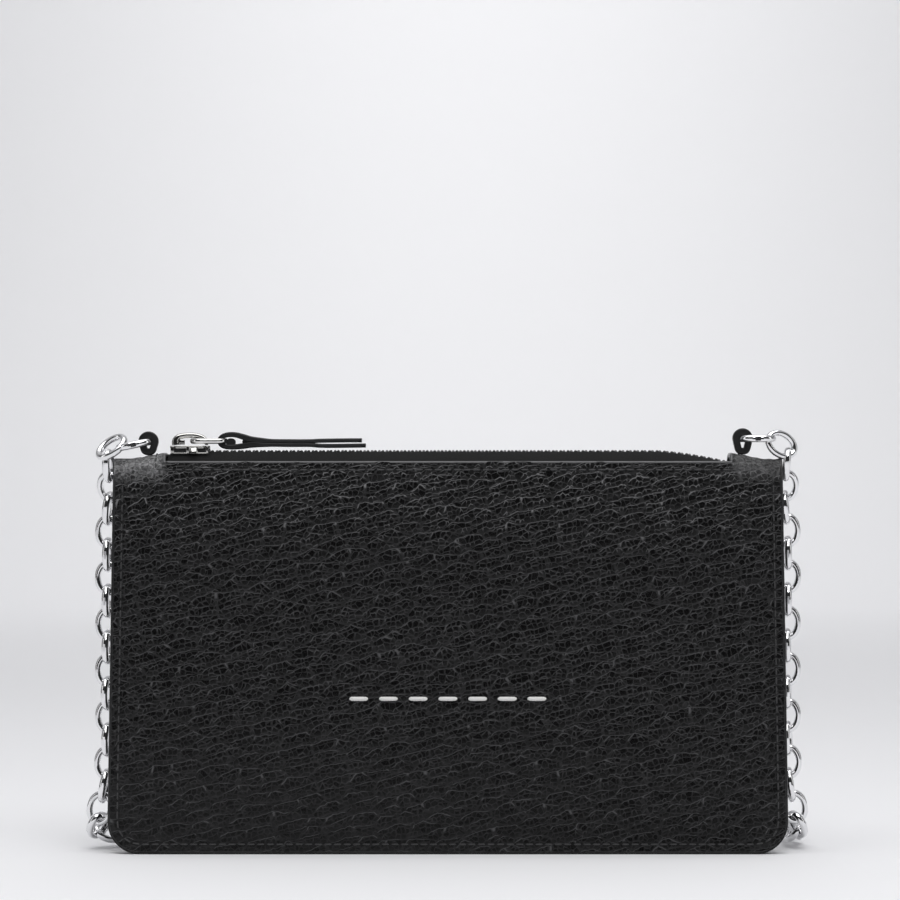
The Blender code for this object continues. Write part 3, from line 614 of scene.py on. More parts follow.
class Hide:
    """A height map of the grain: rows of small pits under arched crests, that climb to the right."""

    def __init__(self, seed):
        self.rng = np.random.default_rng(seed)
        self.shape = (int(MAP_TOP / MAP_STEP) + 2, int(2 * MAP_HALF_WIDTH / MAP_STEP) + 2)
        self.pits = np.zeros(self.shape)
        self.crests = np.zeros(self.shape)
        self.sway = value_noise(self.rng, self.shape, (0.030, 0.045)) * 0.0030
        self.size = 1.0 + 0.22 * value_noise(self.rng, self.shape, (0.022, 0.030))
        self.place_rows()
        swell = value_noise(self.rng, self.shape, (0.0042, 0.0070)) * 0.00006
        swell += value_noise(self.rng, self.shape, (0.0016, 0.0024)) * 0.000022
        wrinkle = value_noise(self.rng, self.shape, (0.0080, 0.0016)) * 0.00022
        self.fields = {"pits": self.pits, "crests": self.crests, "swell": swell, "wrinkle": wrinkle}

    def cell(self, u, v):
        """The map's row and column at a place: u across the hide, v up it."""
        return int(round(v / MAP_STEP)), int(round((u + MAP_HALF_WIDTH) / MAP_STEP))

    def at(self, field, u, v):
        row, column = self.cell(u, v)
        row = min(max(row, 0), self.shape[0] - 1)
        column = min(max(column, 0), self.shape[1] - 1)
        return field[row, column]

    def place_rows(self):
        """Rows of clusters over the whole map, and a little past its edges."""
        reach = MAP_HALF_WIDTH + 0.006
        rise = math.sin(GRAIN_SLOPE) * 2 * reach
        for across in np.arange(-rise, MAP_TOP + 0.004, ROW_SPACING):
            along = self.rng.uniform(-0.004, 0.0)
            while along < 2 * reach / math.cos(GRAIN_SLOPE):
                along = self.place_cluster(along, across + self.rng.normal(0.0, 0.00035), reach)

    def place_cluster(self, along, across, reach):
        """One arched crest with a few pits under it. Returns where the next cluster starts."""
        rng = self.rng
        count = rng.choice([1, 2, 3, 4, 5], p=[0.26, 0.32, 0.24, 0.12, 0.06])       # of pits
        spacing = PIT_SPACING * rng.uniform(0.9, 1.2)
        length = spacing * (count - 1)
        arch = 0.10 + 0.10 * rng.random()
        tilt = GRAIN_SLOPE + rng.normal(0.0, 0.10)
        depth = rng.uniform(0.6, 1.0)
        middle_u = (along + length / 2) * math.cos(GRAIN_SLOPE) - reach
        middle_v = (along + length / 2) * math.sin(GRAIN_SLOPE) + across
        middle_v += self.at(self.sway, middle_u, middle_v)
        size = self.at(self.size, middle_u, middle_v)
        for index in range(count):
            offset = (index - (count - 1) / 2) * spacing
            drop = arch * offset ** 2 / (0.5 * length + spacing)
            drop += rng.normal(0.0, 0.00012)
            u = middle_u + offset * math.cos(tilt)
            v = middle_v + offset * math.sin(tilt) - drop
            self.press_pit(u, v, tilt, size * rng.uniform(0.42, 0.74) / 1000, depth * rng.uniform(0.6, 1.0))
            if rng.random() < 0.28:
                self.press_pit(u + rng.normal(0.0, 0.0003), v - 0.0013 * size, tilt,
                               size * rng.uniform(0.35, 0.60) / 1000, depth * 0.6)
        self.raise_crest(middle_u, middle_v, tilt, length / 2 + 0.0009 * size, arch, spacing, length, size)
        return along + length + rng.uniform(1.15, 2.30) / 1000 * size

    def window(self, u, v, reach):
        """The part of the map within reach of a place, and how far across and up from it each cell is."""
        row, column = self.cell(u, v)
        cells = int(reach / MAP_STEP) + 1
        rows = slice(max(row - cells, 0), min(row + cells + 1, self.shape[0]))
        columns = slice(max(column - cells, 0), min(column + cells + 1, self.shape[1]))
        if rows.start >= rows.stop or columns.start >= columns.stop:
            return None
        up = np.arange(rows.start, rows.stop)[:, None] * MAP_STEP - v
        across = np.arange(columns.start, columns.stop)[None, :] * MAP_STEP - MAP_HALF_WIDTH - u
        return (rows, columns), across, up

    def press_pit(self, u, v, tilt, size, depth):
        """A pit that is steep under its upper rim and shallow below, with a raised brow over it."""
        found = self.window(u, v, size * 2.2)
        if not found:
            return
        where, across, up = found
        along = (across * math.cos(tilt) + up * math.sin(tilt)) / size
        rise = (up * math.cos(tilt) - across * math.sin(tilt)) / size
        rise = np.where(rise > 0, rise / 0.80, rise / 1.35)
        radius = np.sqrt(along ** 2 + rise ** 2)
        bowl = np.clip(1.0 - radius ** 2, 0.0, 1.0) ** 1.3 * depth
        self.pits[where] = np.maximum(self.pits[where], bowl)
        brow = np.exp(-((radius - 1.22) / 0.24) ** 2) * np.clip(rise / (radius + 1e-9) + 0.15, 0.0, 1.0)
        self.crests[where] = np.maximum(self.crests[where], brow * mix(0.5, 1.0, depth))

    def raise_crest(self, u, v, tilt, half, arch, spacing, length, size):
        """A thin ridge that runs over a whole cluster and fades at its ends."""
        for offset in np.arange(-half - 0.0010, half + 0.0011, 0.00022):
            drop = arch * offset ** 2 / (0.5 * length + spacing)
            lift = 0.00092 * size - drop
            place_u = u + offset * math.cos(tilt) - lift * math.sin(tilt)
            place_v = v + offset * math.sin(tilt) + lift * math.cos(tilt)
            found = self.window(place_u, place_v, 0.0006)
            if not found:
                continue
            where, across, up = found
            fade = 1.0 - max(0.0, abs(offset) - half + 0.0006) / 0.0018
            ridge = 0.62 * fade * np.exp(-(across ** 2 + up ** 2) / 0.00024 ** 2)
            self.crests[where] = np.maximum(self.crests[where], ridge)

    def sample(self, field, u, v):
        """A field's values at places between the map's cells."""
        row = np.clip(v / MAP_STEP, 0, self.shape[0] - 1.001)
        column = np.clip((u + MAP_HALF_WIDTH) / MAP_STEP, 0, self.shape[1] - 1.001)
        r, c = row.astype(int), column.astype(int)
        fr, fc = row - r, column - c
        low = mix(field[r, c], field[r, c + 1], fc)
        high = mix(field[r + 1, c], field[r + 1, c + 1], fc)
        return mix(low, high, fr)


PIT_DEPTH = 0.00020
CREST_HEIGHT = 0.00007
PEBBLE_WIDTH = 0.0015           # of the material's own pits, along a row
PEBBLE_HEIGHT = 0.0014          # and from one row to the next
SEAM_GROOVE = 0.00016           # how deep the thread pulls the leather in
GRAIN_FREE_EDGE = 0.0003        # the grain starts this far from the hide's edges
GRAIN_FADE = 0.0006             # and is whole this much further in
SHOULDER_X = 0.0775             # the shoulders, which carry a painted highlight, start here, beside the slot
SHOULDER_X_FADE = 0.0045
SHOULDER_ALONG = 0.1030         # and this far up the hide
SHOULDER_ALONG_FADE = 0.0060
# strength of the shoulders' painted highlight
SHOULDER_HIGHLIGHT = (1.0, 0.4)      # left and right
BAND_ALONG = 0.1105             # over the zip's stitching, the hide is almost plain from here up
BAND_FADE = 0.0005


def skin_grid(side):
    """One face's smooth points in rows, how far up the hide each one is, and the cells outside the slot."""
    wall_levels = np.concatenate([[0.0, 0.00006, 0.00020], np.arange(0.0004, 0.1000, 0.00041)])
    to_fold = np.linspace(0.0, 1.0, 20)[1:, None]
    below_slot = np.linspace(0.0, SLOT_EDGE_ANGLE, 10)[1:]
    above_slot = np.linspace(SLOT_EDGE_ANGLE, math.pi / 2, 16)[1:]
    angles = np.concatenate([below_slot, above_slot])[:, None]
    half_top = WIDTH_AT_TOP / 2 - EDGE_INSET
    slot_part = SLOT_HALF_LENGTH / half_top
    beside_slot = np.linspace(slot_part, 1.0, 29)[1:]
    parts = np.concatenate([-beside_slot[::-1], np.linspace(-slot_part, slot_part, 281), beside_slot])

    wall_x = parts * (half_width(wall_levels) - EDGE_INSET)[:, None]
    wall_z = np.broadcast_to(wall_levels[:, None], wall_x.shape)
    fold_x = parts * half_top
    rise_z = mix(wall_levels[-1], fold_base(fold_x), to_fold)
    curve = fold_points(fold_x, angles)
    curve[..., 1] *= -side
    points = np.concatenate([wall_points(wall_x, wall_z, side), wall_points(fold_x, rise_z, side), curve])
    along = np.concatenate([wall_z, rise_z, fold_base(fold_x) + angles / (math.pi / 2) * FOLD_LENGTH])

    keep = np.ones((len(points) - 1, len(parts) - 1), bool)
    in_slot = np.abs(fold_x[:-1] + fold_x[1:]) / 2 < SLOT_HALF_LENGTH
    keep[len(points) - len(above_slot) - 1:, in_slot] = False
    return points, along, keep


def skin(hide, side):
    """One face of the hide, from the bottom edge to the middle of the fold, less its half of the slot."""
    points, along, keep = skin_grid(side)
    u = points[..., 0]
    v = along if side < 0 else MAP_TOP - along
    rows, columns = u.shape
    normals = unit(np.cross(np.gradient(points, axis=1), np.gradient(points, axis=0))) * -side

    edge = half_width(points[..., 2]) - np.abs(u)
    margin = smooth_step((edge - GRAIN_FREE_EDGE) / GRAIN_FADE)
    margin = margin * smooth_step((points[..., 2] - GRAIN_FREE_EDGE) / GRAIN_FADE)
    shoulder = smooth_step((np.abs(u) - SHOULDER_X) / SHOULDER_X_FADE)
    shoulder = shoulder * smooth_step((along - SHOULDER_ALONG) / SHOULDER_ALONG_FADE)
    # painted highlight over the shoulders, stronger at the left
    shoulder_highlight_amount = shoulder * np.where(u < 0.0, *SHOULDER_HIGHLIGHT)
    band = smooth_step((along - BAND_ALONG) / BAND_FADE) * (1.0 - shoulder)
    strength = margin * (1.0 - 0.55 * shoulder) * (1.0 - 0.85 * band)
    fields = {name: hide.sample(field, u, v) for name, field in hide.fields.items()}
    seam = seam_groove(u, points[..., 2], along)

    pressed = strength * (1.0 - 0.7 * seam)
    pit = fields["pits"] * pressed
    crest = fields["crests"] * pressed * (1.0 - np.clip(fields["pits"] * 1.6, 0.0, 1.0))
    height = (-PIT_DEPTH * pit + CREST_HEIGHT * crest + fields["swell"] * margin
              + fields["wrinkle"] * shoulder * margin - SEAM_GROOVE * seam)
    points = points + normals * height[..., None]

    faces = grid_faces(rows, columns, keep=keep)
    if side > 0:
        faces = faces[:, ::-1]
    used = np.unique(faces)
    renumber = np.full(rows * columns, -1)
    renumber[used] = np.arange(len(used))
    name = "leather_front" if side < 0 else "leather_back"
    piece = make_piece(name, points.reshape(-1, 3)[used], renumber[faces].tolist(), GRAINED, "wallet",
                       "grained_leather", ("outer_leather",), outward=False)
    across = u * math.cos(GRAIN_SLOPE) + v * math.sin(GRAIN_SLOPE)
    up = v * math.cos(GRAIN_SLOPE) - u * math.sin(GRAIN_SLOPE)
    # The painted highlights over the pits are brighter near the top, and the pattern is calmer near the
    # bottom, above all at the left
    upper = smooth_step((points[..., 2] - 0.080) / 0.028)
    calm = smooth_step((0.055 - points[..., 2]) / 0.050) * mix(1.0, 0.55, smooth_step((u + 0.03) / 0.08))
    for name, values in (("crest", np.clip(crest, 0.0, 1.0)), ("shoulder", shoulder_highlight_amount), ("upper", upper),
                         ("calm", calm), ("grain", strength * (1.0 - 0.6 * seam)),
                         ("hide_across", across / PEBBLE_WIDTH), ("hide_up", up / PEBBLE_HEIGHT)):
        set_attribute(piece, name, values.ravel()[used])


def seam_groove(x, z, along):
    """1 on a stitched line, and 0 away from it: the sides and bottom, the zip's line and its ends."""
    far = 0.01
    side_top = 0.1075
    zip_line = fold_base(x) + STITCH_ANGLE / (math.pi / 2) * FOLD_LENGTH
    lines = [np.abs(outline_distance(x, z) - SEAM_FROM_EDGE) + far * (along > side_top),
             np.where(np.abs(x) < STEP_X, np.abs(along - zip_line), far),
             np.where(along > zip_line, np.abs(np.abs(x) - STEP_X), far)]
    nearest = np.minimum.reduce(lines)
    return np.exp(-(nearest / 0.00042) ** 2)


def outline_distance(x, z):
    """Distance from the wallet's outline at its sides, bottom and rounded corners."""
    wide = mix(WIDTH_AT_BASE, WIDTH_AT_TOP, np.clip(z / TOP, 0.0, 1.0)) / 2
    side = wide - np.abs(x)
    in_corner = (side < CORNER_RADIUS) & (z < CORNER_RADIUS)
    corner = CORNER_RADIUS - np.hypot(CORNER_RADIUS - side, CORNER_RADIUS - z)
    return np.where(in_corner, corner, np.minimum(side, z))


def outline_path(inward, top, spacing):
    """(x, z) along the sides and bottom, from the top left down and up to the top right."""
    radius = CORNER_RADIUS - inward
    base_z = np.linspace(top, CORNER_RADIUS, 60)
    right = np.stack([half_width(base_z) - inward, base_z], axis=-1)
    turn = np.linspace(0.0, math.pi / 2, 16)[1:]
    centre = half_width(CORNER_RADIUS) - CORNER_RADIUS
    corner = np.stack([centre + radius * np.cos(turn), CORNER_RADIUS - radius * np.sin(turn)], axis=-1)
    half = np.concatenate([right, corner])
    whole = np.concatenate([half * (-1, 1), half[::-1]])
    return evenly(np.insert(whole, 1, 0.0, axis=1), spacing)


def make_edge_paint():
    """The painted edge down both sides and along the bottom, closed over the ends of the fold."""
    path = outline_path(0.0, SHOULDER_TOP - 0.00012, 0.0012)
    inward = np.cross(tangents(path), BACK)
    base = SHOULDER_TOP - FOLD_RISE_AT_END
    over = np.clip((path[:, 2] - base) / FOLD_RISE_AT_END, 0.0, 1.0)
    depth = SEAM_DEPTH / 2 * np.sqrt(1.0 - over ** 2) + 0.00004
    corner = 0.00075
    turn = np.linspace(0.0, math.pi / 2, 6)
    front = [(PAINT_LIP, -1.0, 0.0), (0.0007, -1.0, -0.00003)]
    front += [(corner * (1 - math.sin(a)), -1.0, corner * (1 - math.cos(a))) for a in turn]
    front += [(0.00002, -0.30, 0.0), (0.00016, 0.0, 0.0)]
    section = front + [(side, -part, -lift) for side, part, lift in reversed(front[:-1])]
    sections = np.array([[(side, part * d + min(max(lift, -d), d) * (1 if d > corner else d / corner))
                          for side, part, lift in section] for d in depth])
    make_piece("edge_paint_outer", *sweep(path, inward, BACK, sections), PAINT, "wallet",
               "smooth_leather", ("outer_leather",))


def make_slot_edge():
    """The painted cut edge round the zip's slot, a half-round bead as thick as the leather, made pale as a
    painted highlight.
    """
    straight = np.linspace(-SLOT_HALF_LENGTH, SLOT_HALF_LENGTH, 160)
    arch = np.linspace(SLOT_EDGE_ANGLE, math.pi - SLOT_EDGE_ANGLE, 14)[1:-1]
    x = np.concatenate([straight, np.full(len(arch), SLOT_HALF_LENGTH)])
    x = np.concatenate([x, -x])
    front = np.full(len(straight), SLOT_EDGE_ANGLE)
    angle = np.concatenate([front, arch, math.pi - front, arch[::-1]])
    outer = fold_points(x, angle, -0.00004)
    inner = fold_points(x, angle, LEATHER)
    ahead = fold_points(x, angle + 0.01 * np.sign(math.pi / 2 - angle), 0.0) - fold_points(x, angle, 0.0)
    to_slot = np.where((np.abs(x) < SLOT_HALF_LENGTH - 1e-6)[:, None], unit(ahead),
                       np.stack([-np.sign(x), np.zeros_like(x), np.zeros_like(x)], axis=-1))
    half = len(straight) + len(arch)
    for index in (0, len(straight) - 1, half, half + len(straight) - 1):
        to_slot[index] = unit(unit(ahead[index]) + np.array((-np.sign(x[index]), 0.0, 0.0)))
    down = inner - outer
    reach = 0.00040             # of the bead past the cut edge, and of the paint over each face
    bead = [outer + down * t + to_slot * reach * math.sin(math.pi * t) ** 0.6
            for t in np.linspace(0.0, 1.0, 8)]
    rows = [outer - to_slot * reach, *bead, inner - to_slot * reach]
    points = np.stack(rows, axis=1)
    faces = grid_faces(len(x), points.shape[1], wrap_rows=True, wrap_columns=True)
    make_piece("edge_paint_slot", points, faces.tolist(), SLOT_EDGE_HIGHLIGHT, "wallet", "smooth_leather",
               ("outer_leather",))


# ---------------------------------------------------------------- stitching

def stitch(start, end, normal, radius, lift, rings=9, around=8, turns=2.0, sink=1.6):
    """One stitch: a thread of two strands that rises out of one hole and goes down into the next."""
    t = np.linspace(0.0, 1.0, rings)
    run = end - start
    arch = 1.0 - np.abs(2 * t - 1) ** 5
    path = start + run * t[:, None] + normal * (lift * arch - sink * radius * (1 - arch))[:, None]
    along = tangents(path)
    sides = unit(np.cross(along, normal))
    ups = np.cross(sides, along)
    angle = 2 * math.pi * np.arange(around) / around
    ply = 1.0 + 0.10 * np.cos(2 * (angle[None, :] - 2 * math.pi * turns * t[:, None]))
    taper = (1.0 - 0.45 * np.abs(2 * t - 1) ** 6)[:, None]
    across = radius * ply * taper
    sections = np.stack([across * np.cos(angle), 0.72 * across * np.sin(angle)], axis=-1)
    return sweep(path, sides, ups, sections)


def stitch_row(parts, line, normals, pitch=STITCH_PITCH):
    """Black stitches along a line of points. normals holds one direction for each point, or one for all."""
    normals = np.broadcast_to(normals, line.shape)
    steps = np.concatenate([[0.0], np.cumsum(np.linalg.norm(np.diff(line, axis=0), axis=1))])
    count = round(steps[-1] / pitch)
    wanted = np.linspace(0.0, steps[-1], count + 1)
    holes, facing = [np.stack([np.interp(wanted, steps, values[:, axis]) for axis in range(3)], axis=-1)
                     for values in (line, normals)]
    for here, there, normal in zip(holes[:-1], holes[1:], unit(facing[:-1] + facing[1:])):
        gap = (there - here) * 0.11
        parts.add(*stitch(here + gap, there - gap, normal, STITCH_RADIUS, 0.00002))


def make_black_stitching():
    """Round the sides and bottom, along the zip on both faces, and over the top beside the slot."""
    parts = Parts()
    for side in (-1, 1):
        seam = outline_path(SEAM_FROM_EDGE, 0.1066, 0.0009)
        stitch_row(parts, wall_points(seam[:, 0], seam[:, 2], side), side * BACK)
        angle = STITCH_ANGLE if side < 0 else math.pi - STITCH_ANGLE
        stitch_row(parts, fold_points(np.linspace(-STEP_X, STEP_X, 200), angle), side * BACK)
    for x in (-STEP_X, STEP_X):
        angle = np.linspace(STITCH_ANGLE, math.pi - STITCH_ANGLE, 60)
        outward = unit(np.stack([np.zeros(60), -np.cos(angle), np.sin(angle)], axis=-1))
        stitch_row(parts, fold_points(x, angle), outward, STEP_STITCH_PITCH)
    make_piece("stitching_black", *parts.joined(), BLACK_THREAD, "wallet", "grained_leather")


def make_white_stitching():
    """A plain row of white saddle stitches across the lower front."""
    parts = Parts()
    count = 7
    length = 0.0053
    pitch = 0.0083
    height = 0.0440
    radius = 0.00058
    for index in range(count):
        middle = (index - (count - 1) / 2) * pitch
        ends = [wall_points(middle + reach, height, -1) for reach in (-length / 2, length / 2)]
        parts.add(*stitch(*ends, -BACK, radius, 0.00024, rings=25, around=16, turns=3.5, sink=0.9))
    make_piece("stitching_white", *parts.joined(), WHITE_THREAD, "wallet", "grained_leather")


# ---------------------------------------------------------------- linings and pockets

def closed_sheet(outer, inner):
    """Points and faces of a thin closed sheet between two grids."""
    rows, columns = outer.shape[:2]
    front = grid_faces(rows, columns)
    back = front[:, ::-1] + rows * columns
    index = np.arange(rows * columns).reshape(rows, columns)
    rim = np.concatenate([index[0, :-1], index[:-1, -1], index[-1, :0:-1], index[:0:-1, 0]])
    after = np.roll(rim, -1)
    walls = np.stack([rim, rim + rows * columns, after + rows * columns, after], axis=-1)
    points = np.concatenate([outer.reshape(-1, 3), inner.reshape(-1, 3)])
    return points, np.concatenate([front, back, walls]).tolist()


def make_cloth(node, side, inset, half_widths):
    """A lining or pocket sheet, over the height and in the place of its CAD node."""
    low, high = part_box(node)
    levels = np.linspace(low.z, high.z, 34)
    parts = np.linspace(-1.0, 1.0, 60)
    x = parts[None, :] * half_widths(levels)[:, None]
    z = np.broadcast_to(levels[:, None], x.shape)
    pucker = 0.00006 * np.sin(x / 0.0031) * smooth_step((z - high.z + 0.006) / 0.006)
    outer = wall_points(x, z, side, inset + pucker)
    inner = wall_points(x, z, side, inset + LINING + pucker)
    points, faces = closed_sheet(outer, inner)
    piece = make_piece(node + "_cloth", points, faces, LINING_CLOTH, "wallet", "lining", (node,), sharp=50)


def make_inner_cloths():
    """The two linings, and the pockets that are sewn in front of them, one behind the other."""
    inset = LEATHER + GAP
    for node, side in (("front_lining", -1), ("back_lining", 1)):
        make_cloth(node, side, inset, lambda z: half_width(z) - 0.0004)
    for node, side, layers_behind in (("card_panel", 1, 1), ("card_pocket_rear", 1, 2),
                                      ("card_pocket_middle", 1, 3), ("card_pocket_front", 1, 4),
                                      ("slip_pocket", -1, 1)):
        make_cloth(node, side, inset + layers_behind * (LINING + GAP),
                   lambda z: np.full(len(z), POCKET_HALF_WIDTH))


# ---------------------------------------------------------------- zip

def zip_drop(x):
    """How far the zip has come down at x: quickly at its left end, and gently at its right end."""
    left, right = [np.clip((x - start) / (end - start), 0.0, 1.0)
                   for start, end, _ in (LEFT_DROP, RIGHT_DROP)]
    return np.where(x < 0.0, LEFT_DROP[2] * smooth_step(left), RIGHT_DROP[2] * right ** 1.5)


def tape_edge_reach(x):
    """From the middle to a tape's corded edge. The tapes meet to the left of the teeth."""
    return mix(TAPE_EDGE_Y, TAPE_MEETING_Y, np.clip((TEETH_START - 0.0002 - x) / 0.0030, 0.0, 1.0))


def make_tapes():
    """The two woven tapes, with a thicker corded edge where the teeth are clamped on."""
    x = np.linspace(-TAPE_HALF_LENGTH, TAPE_HALF_LENGTH, 420)

    def profile(side, depth):
        inset = LEATHER + GAP + depth
        reach = half_depth(x, fold_base(x)) - inset
        rows = [(reach, np.full_like(x, TAPE_FOOT)), (reach, mix(TAPE_FOOT, fold_base(x), 0.5)),
                (reach, fold_base(x))]
        for angle in np.linspace(0.0, SLOT_EDGE_ANGLE, 5)[1:]:
            under_leather = fold_points(x, angle, inset)
            rows.append((-under_leather[:, 1], under_leather[:, 2]))
        edge_y = np.maximum(tape_edge_reach(x) - depth * 0.86, TAPE_MEETING_Y / 2)
        edge_z = TAPE_EDGE_HEIGHT - zip_drop(x) - depth * 0.5
        last_y, last_z = rows[-1]
        for part in np.linspace(0.0, 1.0, 7)[1:]:
            crown = 0.00012 * math.sin(math.pi * part) * (1 if depth == 0 else 0.3)
            rows.append((mix(last_y, edge_y, part), mix(last_z, edge_z, part) + crown))
        return np.stack([np.stack([x, side * y, z], axis=-1) for y, z in rows])

    for name, side in (("front", -1), ("back", 1)):
        points, faces = closed_sheet(profile(side, 0.0), profile(side, TAPE))
        piece = make_piece("tape_" + name, points, faces, TAPE_CLOTH, "wallet", "zip_tape",
                           ("zip_tape_" + name,), sharp=60)


def make_teeth():
    """Two combs of moulded teeth, half a pitch apart, that lock together along the middle."""
    count = int((TEETH_END - TEETH_START) / TOOTH_PITCH) - 1
    height = TEETH_TOP - TEETH_BOTTOM
    # (distance from the middle of the zip, half width along the zip in mm, half height as a part
    # of the whole height): a clamp on the tape, a neck, and a head that locks past the middle
    shape = [(0.00252, 0.30, 0.26), (0.00246, 0.44, 0.42), (0.00215, 0.54, 0.50), (0.00150, 0.54, 0.49),
             (0.00118, 0.38, 0.42), (0.00080, 0.30, 0.38), (0.00048, 0.40, 0.34), (0.00010, 0.46, 0.33),
             (-0.00022, 0.40, 0.28), (-0.00040, 0.22, 0.18)]
    sections = [round_section(width * 0.001, part * height, 12, 2.3) for _, width, part in shape]
    for name, side, shift in (("front", -1, 0.25), ("back", 1, 0.75)):
        parts = Parts()
        for index in range(count):
            x = TEETH_START + (index + shift) * TOOTH_PITCH
            middle = (TEETH_TOP + TEETH_BOTTOM) / 2 - float(zip_drop(max(x, 0.0)))
            path = np.array([(x, side * y, middle) for y, _, _ in shape])
            parts.add(*sweep(path, RIGHT, UP, sections))
        make_piece("teeth_" + name, *parts.joined(), TEETH, "wallet", "zip_teeth",
                   ("zip_teeth_" + name,), sharp=55)


def bevelled(outline, low, high, bevel):
    """An upright prism with rounded edges, as points and faces, over an outline of (x, y) pairs."""
    bm = bmesh.new()
    ends = [[bm.verts.new((x, y, z)) for x, y in outline] for z in (low, high)]
    bm.faces.new(ends[0])
    bm.faces.new(ends[1])
    for index in range(len(outline)):
        after = (index + 1) % len(outline)
        bm.faces.new([ends[0][index], ends[0][after], ends[1][after], ends[1][index]])
    bmesh.ops.recalc_face_normals(bm, faces=bm.faces[:])
    bmesh.ops.bevel(bm, geom=bm.edges[:], offset=bevel, segments=3, profile=0.5, affect="EDGES",
                    clamp_overlap=True)
    bm.verts.index_update()
    points = [vertex.co[:] for vertex in bm.verts]
    faces = [[vertex.index for vertex in face.verts] for face in bm.faces]
    bm.free()
    return points, faces


def block(low, high, bevel):
    """A box with rounded edges, as points and faces."""
    outline = [(low[0], low[1]), (high[0], low[1]), (high[0], high[1]), (low[0], high[1])]
    return bevelled(outline, low[2], high[2], bevel)


def make_stops():
    """The crimps that stop the slider at the zip's two ends."""
    for node in ("zip_top_stop", "zip_bottom_stop"):
        make_piece(node + "_crimp", *block(*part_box(node), 0.00025), TEETH, "wallet", "zip_teeth",
                   (node,), sharp=35)


# ---------------------------------------------------------------- slider, ring and puller

def make_slider():
    """The slider's plates and side walls. The front wall has two windows with a wedge between them, and a
    dark sheet of painted shade behind them.
    """
    low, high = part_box("slider_body")
    left, right = low.x, high.x
    half = high.y
    plate = 0.0008
    nose = 0.0018
    narrow = half - 0.0012
    front = [(left, -narrow * 0.7), (left + nose * 0.5, -narrow), (left + nose, -half),
             (right - nose, -half), (right - nose * 0.35, -narrow), (right, -narrow * 0.7)]
    plan = front + [(x, -y) for x, y in reversed(front)]
    parts = Parts()
    parts.add(*bevelled(plan, high.z - plate, high.z, 0.00020))
    sill = 0.1124               # the foot of the side walls, which stand on the tapes
    under_plate = high.z - 0.0002
    post_foot = 0.1108
    post_half = 0.0002
    lower_plate_half = 0.0023
    for side in (-1, 1):
        near, far = sorted((side * (half - 0.0006), side * half))
        wall = [(left + 0.0003, right - 0.0003, under_plate)]
        if side < 0:
            rail = (left + 0.0004, right - 0.0003, sill + 0.00042)
            wall = [rail, (left + 0.0003, left + 0.0013, under_plate),
                    (left + 0.0047, left + 0.0080, under_plate),
                    (right - 0.0010, right - 0.0003, under_plate)]
        for x_from, x_to, top in wall:
            parts.add(*block((x_from, near, sill), (x_to, far, top), 0.00014))
        # The wedge stands proud of its wall and leans inward as it rises
        near, far = sorted((side * (half - 0.0002), side * (half + 0.0002)))
        points, faces = block((left + 0.0054, near, sill + 0.0002), (left + 0.0076, far, high.z - 0.0003),
                              0.00012)
        parts.add([(x, y - side * 0.40 * (z - sill - 0.0013), z) for x, y, z in points], faces)
    post = block((right - 0.0042, -post_half, post_foot), (right - 0.0010, post_half, high.z - 0.0004),
                 0.00008)
    bottom = block((left + 0.0046, -lower_plate_half, low.z),
                   (right - 0.0008, lower_plate_half, low.z + 0.0007), 0.00018)
    parts.add(*post)
    parts.add(*bottom)
    make_piece("slider_shell", *parts.joined(), SLIDER_METAL, "slider", "polished_metal",
               ("slider_body",), sharp=30)
    # painted shade: a dark sheet just inside the front wall, seen through the windows, stands in for the
    # shadow inside the slider
    window_shade = block((left + 0.0010, -half + 0.0007, sill + 0.0001),
                    (right - 0.0007, -half + 0.0010, high.z - plate - 0.0001), 0.00005)
    make_piece("slider_window_shade", *window_shade, TEETH, "slider", "zip_teeth")


def make_bridge():
    """The arched bridge that holds the ring: broad at its left foot and hooked at its right end."""
    low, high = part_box("slider_bridge")
    left, right = low.x, high.x
    foot, top = low.z - 0.0001, high.z
    # From inside the slider at the left, over the ring, and down to the hooked right end
    route = [(left + 0.0009, 0, foot), (left + 0.0009, 0, foot + 0.0012), (left + 0.0017, 0, top - 0.0013),
             (left + 0.0030, 0, top - 0.0009), (left + 0.0050, 0, top - 0.00075),
             (right - 0.0032, 0, top - 0.0009), (right - 0.0016, 0, top - 0.0014),
             (right - 0.0006, 0, top - 0.0021), (right - 0.0005, 0, foot)]
    path = curve_through(route, 0.00028)
    part = np.linspace(0.0, 1.0, len(path))
    thickness = mix(0.00105, 0.00076, smooth_step(part / 0.35)) - 0.00026 * smooth_step((part - 0.70) / 0.2)
    width = mix(0.00150, 0.00100, smooth_step(part / 0.4))
    sections = [round_section(w, t, 16, 3.0) for w, t in zip(width, thickness)]
    arch = sweep(path, BACK, np.cross(tangents(path), BACK), sections)
    make_piece("bridge_arch", *arch, SLIDER_METAL, "slider", "polished_metal", ("slider_bridge",),
               sharp=50)
    make_piece("lock_pin_button", *block(*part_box("slider_lock_pin"), 0.0002), SLIDER_METAL, "slider",
               "polished_metal", ("slider_lock_pin",), sharp=35)


def round_corners(half_first, half_second, radius, steps):
    """Pairs of coordinates round a rectangle's four corners, from the one where both are over 0."""
    pairs = []
    for quarter, (first, second) in enumerate(((1, 1), (-1, 1), (-1, -1), (1, -1))):
        for step in range(steps):
            angle = math.pi / 2 * (quarter + step / (steps - 1))
            pairs.append((first * (half_first - radius) + radius * math.cos(angle),
                          second * (half_second - radius) + radius * math.sin(angle)))
    return pairs


